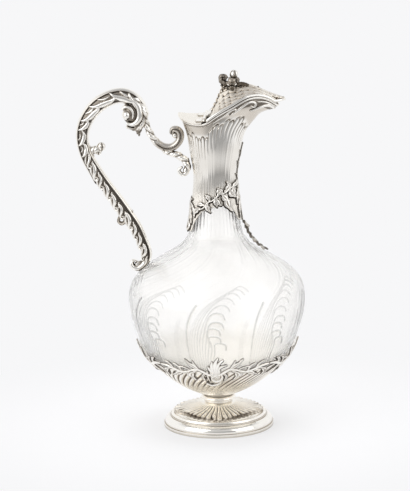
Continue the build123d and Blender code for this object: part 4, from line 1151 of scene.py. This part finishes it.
def lid_level(x, above):
    """Height over the rim line, which runs out level into the beak."""
    beak = smooth_step(x, beak_start, lid_reach)
    tip = 270.9 + 0.95 * above
    return rim_height(np.minimum(x, 50.0), above) * (1 - beak) + tip * beak


def make_lid_edge():
    """Rounded moulding along the lid's edge, drawn out into the beak."""
    front = lid_reach - rim_out
    last = math.acos((lid_back - (front - mouth_rear) / 2) / ((front + mouth_rear) / 2 + rim_out))
    turns = np.linspace(-last, last, lid_edge_rows)
    loop = [(0.0, 0.25), (0.10, 0.04), (0.3, 0.0), (0.7, 0.0), (1.0, 0.05), (1.0, 0.75), (0.85, 0.95),
            (0.55, 0.78), (0.42, 0.80), (0.30, 1.0), (0.10, 0.92), (0.0, 0.65)]
    rings = np.zeros((len(turns), len(loop), 3))
    for i, (inward, up) in enumerate(loop):
        x, y = lid_plan(turns, rim_out - inward * lid_edge_width, front - 3.0 * inward)
        x = np.maximum(x, lid_back)
        low, high = lid_level(x, lid_gap), lid_level(x, lid_gap + lid_edge_height)
        rings[:, i] = np.stack([x, y, low + up * (high - low)], axis=1)
    # The groove of the moulding is painted dark as tarnish and shade
    tarnish_and_shade = np.tile([0.6 if inward in (0.55, 0.42) else 0.0 for inward, _ in loop], (len(turns), 1))
    tip_x, tip_y = lid_plan(np.linspace(-0.9, 0.9, 60), rim_out - 0.9 * lid_edge_width, front - 3.0)
    tip_z = lid_level(tip_x, lid_gap + 0.9 * lid_edge_height)
    top = np.stack([np.stack([tip_x, tip_y * share, tip_z], axis=1) for share in np.linspace(-1, 1, 9)])
    points, quads = shell_mesh(top, top - np.array([0, 0, beak_plate]))
    plate = (points, quads, np.full(len(points), 0.2))
    make_joined("lid_edge_moulding", [capped_tube(rings, tarnish_and_shade), plate], ["lid_edge"], "lid", polished_look)


make_lid_edge()

# Dome: rise along its ridge, and its arch across
dome_stations = [(0.0, 0.05), (0.05, 0.22), (0.10, 0.52), (0.16, 0.93), (0.25, 1.0), (0.36, 0.80),
                 (0.47, 0.60), (0.60, 0.40), (0.71, 0.22), (0.81, 0.11), (0.90, 0.09), (1.0, 0.06)]
arch_shape = [(-1.0, 0.0), (-0.70, 0.22), (-0.42, 0.50), (-0.18, 0.83), (0.0, 1.0),
              (0.18, 0.83), (0.42, 0.50), (0.70, 0.22), (1.0, 0.0)]

# Knobs behind the crest: x, spread to both sides, z and radius
rear_knobs = ((8.0, 0, 281.6, 2.0), (6.2, 2.2, 278.6, 1.5), (4.6, 0, 275.2, 1.7),
              (2.9, 2.0, 271.6, 1.4), (1.0, 0, 268.0, 1.5), (-0.6, 1.6, 264.6, 1.3))


def scale_relief(along, across, size):
    """Overlapping scales: height within each, and the line of painted shade at its lower edge."""
    row = np.floor(along / size)
    share = along / size - row
    shift = across / size + 0.5 * (row % 2)
    middle = shift - np.floor(shift) - 0.5
    past = share - 0.55 - 0.45 * np.sqrt(np.clip(1 - (2 * middle) ** 2, 0, 1))
    return 1 - np.where(past > 0, past, past + 1), np.exp(-(np.abs(past) / 0.30) ** 2)


def make_dome():
    """Lid's dome with scales, ridged along the middle, and the leaves and knobs on it."""
    rows, columns = dome_grid
    share = np.linspace(0, 1, rows)
    rise = smooth_line(np.array(dome_stations) * np.array([1.0, 0.5]), 400) * np.array([1.0, 2.0])
    ridge = np.interp(share, rise[:, 0], rise[:, 1]) * crown_height
    x = dome_start + share * (dome_end - dome_start)
    centre = (lid_reach - rim_out - mouth_rear) / 2
    half_length = (lid_reach - rim_out + mouth_rear) / 2
    out = np.minimum(1.0, (x - centre) / half_length)
    half_width = mouth_half_width * np.sqrt(1 - out ** 2) * (1 - mouth_point * out) - 1.0
    arch = smooth_line(arch_shape, columns)
    foot = lid_level(x, lid_gap + lid_edge_height) - 0.4
    outer = np.stack([x[:, None] + 0 * arch[:, 0], half_width[:, None] * arch[:, 0],
                      foot[:, None] + ridge[:, None] * arch[:, 1]], axis=2)
    normal = grid_normals(outer, False)
    run_up = run_along(outer[:, columns // 2])[:, None]
    arc = np.stack([run_along(line) for line in outer])
    arc = np.abs(arc - arc[:, [columns // 2]])
    wander = 0.4 * np.sin(0.6 * run_up + 0.4 * arc) + 0.3 * np.sin(0.9 * arc - 0.5 * run_up)
    height, dark = scale_relief(arc + wander, run_up + 0.35 * arc + wander, scale_size)
    fade = between(share, 0.01, 0.05, 0.97, 1.0)[:, None] * smooth_step(1 - np.abs(arch[:, 0]), 0.02, 0.10)
    outer = outer + (fade * (0.75 * height - 0.5 * dark))[..., None] * normal
    points, quads = shell_mesh(outer, outer - dome_wall * normal)
    # Painted shade: dark lines under the scale edges, and the dome darker towards its rear, the shaded side,
    # than at the beak
    near_beak = smooth_step(share, 0.55, 0.9)[:, None]
    tarnish_and_shade = fade * np.maximum((1.0 - 0.4 * near_beak) * dark, 0.14 * (1 - near_beak))
    crest_leaf = leaf_blade([(12.0, 283.6), (20.0, 285.8), (28.0, 284.2), (33.0, 281.6), (36.6, 282.4)],
                            [2.4, 4.4, 4.0, 3.2, 1.0], -0.45, 1.4, 6)
    beak_leaf = leaf_blade([(36.0, 280.4), (44.0, 277.4), (51.0, 274.8), (57.2, 272.9)],
                           [2.4, 5.2, 4.6, 3.0, 1.4], -0.25, 2.2, 6)
    rear_leaf = leaf_blade([(-2.0, 262.5), (2.0, 269.5), (5.0, 277.0), (9.5, 282.8)],
                           [2.8, 3.8, 3.2, 1.8], -0.3, 1.2, 5)
    parts = [(points, quads, np.tile(tarnish_and_shade.ravel(), 2)), darker(crest_leaf, crest_dark),
             (*beak_leaf[:2], 0.35 * beak_leaf[2]), darker(rear_leaf, crest_dark)]
    for x, spread, z, size in rear_knobs:
        parts += [ball((x, side * spread, z), size, 1.3, 3) for side in ((-1, 1) if spread else (0,))]
    make_joined("lid_dome", parts, ["lid_shell"], "lid", scaled_look)


make_dome()

# Finial: bud over curled leaves
finial_x = 15.0
cap_level = 284.0
bud = [ball((finial_x + 1.6, 0, 292.7), 3.5, 1.0, 5),
       darker(ball((finial_x + 0.4, 0, 287.4), 3.2, 0.8, 6), 0.55)]
make_joined("finial_bud_relief", bud, ["finial_bud"], "lid")
curl_stations = [(0.6, 0.6, 2.0, 2.8), (3.8, 1.4, 2.2, 3.2), (6.2, 3.6, 2.1, 3.3), (6.4, 6.4, 1.9, 3.1),
                 (4.2, 7.6, 1.6, 2.7), (3.0, 5.8, 1.3, 2.2)]

# Finial's leaves: side, turn in degrees, reach, least painted darkness (tarnish and shade) and height
finial_leaves = (("front", -90, 0.75, 0.45, 0.72), ("right", 0, 0.65, 0.6, 0.72),
                 ("back", 90, 0.75, 0.45, 0.72), ("left", 180, 1.4, 0.55, 1.0))
for place, turn, reach, least, tall in finial_leaves:
    curl = tube([(reach * out, rise, thick, wide) for out, rise, thick, wide in curl_stations], 90, 28,
                leafy([0, 3.5, 7.0, 11.0, 15.0, 30.0], 1.5, 0.5))
    knob = ball((4.2 * reach, 0, 5.4), 2.0, 1.0, 4)
    leaf_tip = leaf_blade([(2.0, 0.6), (4.6, -1.2), (7.4, -1.4), (8.8, 0.4)], [2.0, 3.2, 2.8, 1.2],
                          -0.25, 1.4, 3, rows=30, columns=11)
    cosine, sine = math.cos(math.radians(turn)), math.sin(math.radians(turn))
    turned = []
    for part in (curl, knob, leaf_tip):
        (x, y, z), quads, tarnish_and_shade = part[0].T, *darker(part, least)[1:]
        placed = (finial_x + x * cosine - y * sine, x * sine + y * cosine, cap_level + z * tall)
        turned.append((np.stack(placed, axis=1), quads, tarnish_and_shade))
    make_joined(f"finial_scroll_{place}", turned, [f"finial_leaf_{place}"], "lid")

# Handle: leafy bar with a bulbous volute, thumb bud and curled foot
grip_stations = [(-57.2, 257.5, 2.8, 3.6), (-58.8, 264.0, 4.6, 4.6), (-64.5, 271.8, 5.8, 5.4),
                 (-73.0, 275.7, 6.3, 5.8), (-83.5, 274.3, 6.4, 5.8), (-94.0, 268.5, 6.4, 5.6),
                 (-102.3, 259.0, 6.0, 5.4), (-106.8, 248.3, 5.5, 5.1), (-107.3, 238.5, 5.2, 5.0),
                 (-105.0, 228.5, 5.3, 5.0), (-99.0, 216.3, 5.6, 5.0), (-88.5, 200.0, 5.8, 5.0),
                 (-80.3, 188.6, 5.9, 5.0), (-72.4, 176.8, 5.9, 4.9), (-65.2, 165.6, 5.5, 4.6),
                 (-60.4, 154.5, 5.0, 4.4), (-57.6, 146.0, 4.7, 4.2), (-58.0, 140.6, 4.2, 4.0),
                 (-61.2, 136.6, 3.4, 3.8), (-66.0, 136.0, 2.4, 3.4)]
grip_marks = [-14, 3, 21, 38, 53, 66, 77, 87, 97, 107, 117, 127, 137, 147, 157, 167, 177, 187, 197]


def grip_strokes():
    """Curls in the channel of the grip: distance along it, and place across it."""
    curl = ([(-4.6, 2.6), (-0.8, 2.2), (2.6, 0.2), (4.6, -2.0), (7.0, -2.9), (8.6, -1.6), (7.4, -0.4),
             (6.0, -0.9)], (0.7, 1.2, 1.4, 1.3, 1.1, 1.0, 0.8, 0.5), 1.9)
    sweep = ([(-3.6, -0.4), (-1.4, 1.8), (1.8, 2.3), (4.8, 0.8), (6.8, -1.6), (7.6, -3.4)],
             (0.4, 1.1, 1.8, 1.8, 1.2, 0.5), 1.9)
    vein = ([(-0.6, -1.6), (1.6, -1.2), (3.8, -3.4)], (0.4, 0.8, 0.4), 1.3)
    blade = ([(-2.6, 0.2), (-0.6, -1.6), (2.2, -3.1), (4.4, -3.4)], (0.5, 1.0, 1.0, 0.5), 1.4)
    sprig = ([(4.0, 2.9), (6.2, 1.8), (8.8, 1.5)], (0.5, 0.9, 0.4), 1.2)
    strokes = []
    for number, (start, end) in enumerate(zip(grip_marks, grip_marks[1:])):
        unit = (end - start) / 10.0 * (1 + 0.12 * math.sin(2.3 * number))
        broad = 1.15 + 0.35 * (unit - 1.0) + 0.12 * math.sin(3.7 * number)
        drift = 0.4 * math.sin(1.9 * number) - 1.7 * float(smooth_step(start, 100.0, 130.0))
        stretch = unit * (1.3 if start < 60.0 else 1.0)
        for points, widths, top in (sweep, vein) if start < 90.0 else (curl, blade, sprig):
            place = [(start + stretch * u, v + drift) for u, v in points]
            strokes.append(stroke(place, [broad * width for width in widths], top))
    return strokes


grip_curls = grip_strokes()
curl_leaf = leaf_blade([(-68.0, 181.0), (-73.5, 175.0), (-76.4, 170.6), (-79.6, 172.0), (-78.6, 175.6)],
                       [2.6, 4.2, 4.2, 3.2, 1.8], 0.3, 2.0, 3)
foot_line = [(-57.6, 141.0, 2.4, 3.4), (-60.4, 135.2, 2.8, 3.8), (-65.8, 132.8, 2.6, 4.0),
             (-69.4, 135.4, 2.2, 3.8), (-68.6, 138.8, 1.6, 3.4), (-65.8, 138.4, 1.2, 3.0)]
crescent_lines = ([(-65.4, 272.4, 1.4, 1.8), (-61.6, 268.6, 2.3, 2.6), (-59.8, 262.4, 2.7, 3.0),
                   (-61.4, 256.2, 2.5, 2.8), (-66.0, 253.0, 1.8, 2.2), (-70.6, 253.8, 1.0, 1.4)],
                  [(-74.6, 265.4, 0.7, 1.2), (-71.6, 267.4, 1.1, 1.8), (-67.6, 266.2, 1.3, 2.0),
                   (-65.4, 262.0, 1.2, 2.0), (-66.0, 257.8, 0.7, 1.4)])
wrap_line = [(-70.0, 274.6, 2.8, 4.4), (-62.4, 271.6, 3.4, 5.4), (-57.4, 265.4, 3.4, 5.8),
             (-56.4, 258.0, 3.0, 5.4), (-59.4, 251.6, 2.6, 4.6), (-65.4, 248.8, 2.2, 3.8),
             (-71.0, 250.4, 1.6, 3.0)]
parts = [tube(grip_stations, 700, 84, grip_relief),
         tube([(-104.0, 229.4, 3.6, 3.0), (-99.0, 231.2, 3.4, 3.0), (-94.6, 232.0, 3.0, 2.8)], 50, 36,
              leafy([0, 3, 6, 9, 30], 1.5, 0.5)),
         ball((-92.4, 0, 234.0), 3.6, 1.0, 5), ball((-94.6, 0, 229.8), 2.7, 1.0, 4),
         curl_leaf, tube(foot_line, 90, 40)]
ball_points, ball_quads, ball_tarnish_and_shade = ball((0, 0, 0), 1.0)

# Bulbs in the volute: radii, middle and least painted darkness (tarnish and shade)
volute_eyes = (((7.6, 5.0, 8.6), (-66.8, 0, 261.0), 0.6), ((4.3, 7.0, 4.6), (-70.8, 0, 260.4), 0.0))
for radii, middle, least in volute_eyes:
    parts.append((ball_points * np.array(radii) + np.array(middle), ball_quads, ball_tarnish_and_shade + least))
parts += [tube(line, 90, 30, None, y) for y in (-4.4, 4.4) for line in crescent_lines]
parts.append(tube(wrap_line, 160, 48, leafy([-4, 9, 22, 36, 60], 3.0, 1.2)))
make_joined("handle_main", parts, ["handle_grip"])

link_stations = [(-57.0, 259.0, 2.4, 3.0), (-55.8, 255.0, 2.6, 3.2), (-53.8, 248.5, 2.8, 3.4),
                 (-49.5, 240.5, 3.0, 3.4), (-42.5, 234.0, 3.3, 3.6), (-35.0, 233.2, 3.3, 3.8),
                 (-29.9, 236.6, 3.2, 3.8), (-27.6, 242.2, 3.2, 3.8), (-29.6, 247.4, 3.0, 3.8),
                 (-33.4, 247.8, 2.6, 3.5), (-34.6, 244.6, 2.0, 3.2)]
link_leaf = leaf_blade([(-45.0, 233.5), (-41.5, 230.0), (-38.0, 227.6), (-35.4, 227.8)], [2.4, 3.6, 3.0, 1.2],
                       0.3, 1.2, 3)
make_joined("handle_branch", [tube(link_stations, 260, 60, furrowed(24.0, 0.9)), ball((-32.0, 0, 243.2), 2.6),
                              link_leaf], ["handle_link"])
bracket_line = [(-41.5, 229.8, 1.8, 2.6), (-36.0, 228.6, 2.7, 3.2), (-29.5, 226.3, 3.0, 3.4),
                (-24.4, 222.4, 3.2, 3.4), (-22.4, 217.0, 3.0, 3.4), (-24.2, 213.0, 2.2, 3.0)]
bracket_curl = [(-22.4, 216.0, 2.0, 2.8), (-23.6, 211.8, 2.0, 2.8), (-27.6, 211.2, 1.8, 2.8),
                (-29.2, 214.6, 1.5, 2.6), (-26.8, 216.6, 1.1, 2.4)]
make_joined("handle_foot_bracket", [tube(bracket_line, 120, 40, leafy([-2, 5, 12, 19, 26, 40], 2.5, 0.9)),
                                    tube(bracket_curl, 70, 30)], ["handle_bracket"])
drops = []

# Leaves of the drop: lean, place across and length
drop_leaves = ((-1.4, -1.6, 13.0), (0.6, 0.0, 15.0), (-1.4, 1.6, 13.0), (2.6, -1.0, 11.0), (2.6, 1.0, 11.0))
for lean, y, length in drop_leaves:
    top = np.array([-61.5 + 0.4 * lean, 0.6 * y, 257.5])
    path = [top, top + np.array([0.3 * lean, 1.2 * y, -0.4 * length]),
            top + np.array([0.1 * lean, 0.8 * y, -length])]
    drops.append(darker(leaf_blade(path, [1.8, 2.8, 2.4, 0.5], 0.35, 1.0, 3, (1, 0.2 * y, 0)), 0.45))
make_joined("handle_drop", drops, ["handle_tassel"])

# Leafy stem on the shoulder of the crystal
stem_line = [(23.2, 172.0, 1.0, 1.3), (24.9, 167.0, 1.1, 1.5), (28.6, 159.6, 1.2, 1.6),
             (33.6, 153.6, 1.1, 1.6), (38.4, 150.0, 1.0, 1.4), (42.4, 147.9, 0.7, 1.0)]
stem_leaf = leafy([-1, 3.5, 8, 12.5, 17, 21.5, 26, 31, 50], 1.2, 0.9)
parts = [darker(tube(stem_line, 120, 30, stem_leaf), 0.70)]
for x, spread, z in ((24.0, 1.6, 171.0), (29.6, 1.8, 159.0), (36.4, 1.6, 152.4)):
    for y in (spread, -spread):
        parts.append(leaf_blade([(x, 0, z), (x + 1.4, y, z - 2.4), (x + 3.4, 1.6 * y, z - 4.0)],
                                [0.9, 2.1, 0.7], 0.2, 1.1, 1, (0, 1, 0.4), 20, 9))
make_joined("shoulder_leaves", parts, ["shoulder_stem"])

# Carried-over solids
carried = ((("foot_base_ring", "hinge_pin"), polished),
           (("foot_knop", "hinge_knuckle_front", "hinge_knuckle_back", "lid_knuckle"), satin),
           (("rear_cover",), scaled),
           (("finial_cap",), chased),
           (("cup_stud", "foot_nut", "foot_washer", "finial_nut"), steel),
           (("base_plaster_bed", "neck_plaster_sleeve"), plaster))
for names, material in carried:
    for node in names:
        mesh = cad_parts[node].data
        mesh.materials.clear()
        mesh.materials.append(material)

# Floor: pale, glowing away from the foot, and darker ahead of the ewer in what the silver mirrors
floor_mesh = bpy.data.meshes.new("floor")
half = 6.0
corners = [(-half, -half, 0), (half, -half, 0), (half, half, 0), (-half, half, 0)]
floor_mesh.from_pydata(corners, [], [(0, 1, 2, 3)])
floor = add_object("floor", floor_mesh)
backdrop_grey = (0.930, 0.930, 0.940, 1)
pale_floor = bpy.data.materials.new("pale_floor")
graph = Graph(pale_floor)
shader = graph.add("BsdfPrincipled", Base_Color=(0.965, 0.965, 0.975, 1), Roughness=0.6,
                   Specular_IOR_Level=0.1)
place = graph.add("TexCoord").outputs["Object"]
away = graph.add("VectorMath", {"operation": "LENGTH"})
graph.feed(away.inputs[0], place)
parts = graph.add("SeparateXYZ", Vector=place)
ahead = graph.math("ADD", graph.math("MULTIPLY", parts.outputs["Y"], -0.61),
                   graph.math("MULTIPLY", parts.outputs["X"], 0.28))
dim = graph.ramp(ahead, [(0.14, (1.0, 1.0, 1.0)), (0.25, (0.86, 0.84, 0.81)), (0.34, (0.58, 0.54, 0.48)),
                         (0.46, (0.40, 0.36, 0.31)), (0.58, (0.48, 0.45, 0.41)), (0.68, (0.48, 0.46, 0.43))])
ray = graph.add("LightPath")
shown = graph.math("MAXIMUM", ray.outputs["Is Camera Ray"], ray.outputs["Is Transmission Ray"])
glow = graph.add("Emission", Color=backdrop_grey, Strength=graph.math("MAXIMUM", shown, dim))
fade = graph.smooth_range(away.outputs["Value"], 0.05, 0.26, low=0.5)
graph.add("OutputMaterial", Surface=graph.mix(fade, shader.outputs["BSDF"], glow.outputs["Emission"]))
floor_mesh.materials.append(pale_floor)


def area_lamp(name, place, aim, width, height, watts):
    """Soft rectangular lamp aimed at a point."""
    data = bpy.data.lights.new(name, "AREA")
    data.shape = "RECTANGLE"
    data.size, data.size_y = width, height
    data.energy = watts
    lamp = add_object(name, data)
    lamp.location = place
    lamp.rotation_euler = (Vector(aim) - Vector(place)).to_track_quat("-Z", "Y").to_euler()
    return lamp


area_lamp("lamp_left", (-1.1, -0.9, 0.9), (0, 0, 0.15), 1.4, 1.6, 9.0)
area_lamp("lamp_right", (1.2, -0.7, 0.7), (0, 0, 0.15), 1.2, 1.5, 5.0)
top_lamp = area_lamp("lamp_top", (0.0, 0.3, 1.5), (0, 0, 0.1), 1.0, 1.0, 7.0)
top_lamp.visible_glossy = False

# World: a plain backdrop for the camera and the glass, and a darker room for what mirrors it
world = bpy.data.worlds.new("studio")
bpy.context.scene.world = world
graph = Graph(world)
parts = graph.add("SeparateXYZ", Vector=graph.add("TexCoord").outputs["Generated"])
height = graph.math("ADD", graph.math("MULTIPLY", parts.outputs["Z"], 0.5), 0.5)
sky = graph.ramp(height, [(0.0, (0.93, 0.93, 0.94)), (0.80, (0.95, 0.95, 0.95)), (0.90, (0.66, 0.66, 0.67)),
                          (1.0, (0.48, 0.48, 0.49))])
facing = graph.math("SUBTRACT", graph.math("MULTIPLY", parts.outputs["Y"], 0.91),
                    graph.math("MULTIPLY", parts.outputs["X"], 0.42))
room = graph.math("MAXIMUM", graph.smooth_range(facing, -0.98, -0.25, low=0.42),
                  graph.smooth_range(parts.outputs["Z"], 0.28, 0.60, high=0.80))
studio = graph.add("Background", Color=sky, Strength=room)
ray = graph.add("LightPath")
bright = graph.add("Mix", {"data_type": "RGBA"}, Factor=ray.outputs["Is Camera Ray"], A=(1.0, 1.0, 1.0, 1),
                   B=backdrop_grey)
backdrop = graph.add("Background", Color=bright.outputs["Result"])
seen = graph.math("MAXIMUM", ray.outputs["Is Camera Ray"], ray.outputs["Is Transmission Ray"])
surface = graph.mix(seen, studio.outputs["Background"], backdrop.outputs["Background"])
graph.add("OutputWorld", Surface=surface)

# Camera, as the photograph was taken
camera_distance = 2.1
elevation = math.radians(12.3)
azimuth = math.radians(3.0)
roll = math.radians(0.9)
aim = Vector((0.0, 0.0, 0.150))
flat = math.cos(elevation)
back = Vector((math.sin(azimuth) * flat, -math.cos(azimuth) * flat, math.sin(elevation)))
camera_data = bpy.data.cameras.new("camera")
camera_data.sensor_fit = "HORIZONTAL"
camera_data.sensor_width = 36.0
camera_data.lens = 224.9
camera_data.shift_x = -0.027
camera_data.shift_y = 0.0034
camera_data.clip_end = 50.0
camera = add_object("camera", camera_data)
facing_back = (-back).to_track_quat("-Z", "Y").to_matrix().to_4x4()
camera.matrix_world = (Matrix.Translation(aim + camera_distance * back) @ facing_back
                       @ Matrix.Rotation(-roll, 4, "Z"))
bpy.context.scene.camera = camera

bpy.context.scene.view_settings.view_transform = "Standard"
bpy.context.view_layer.update()
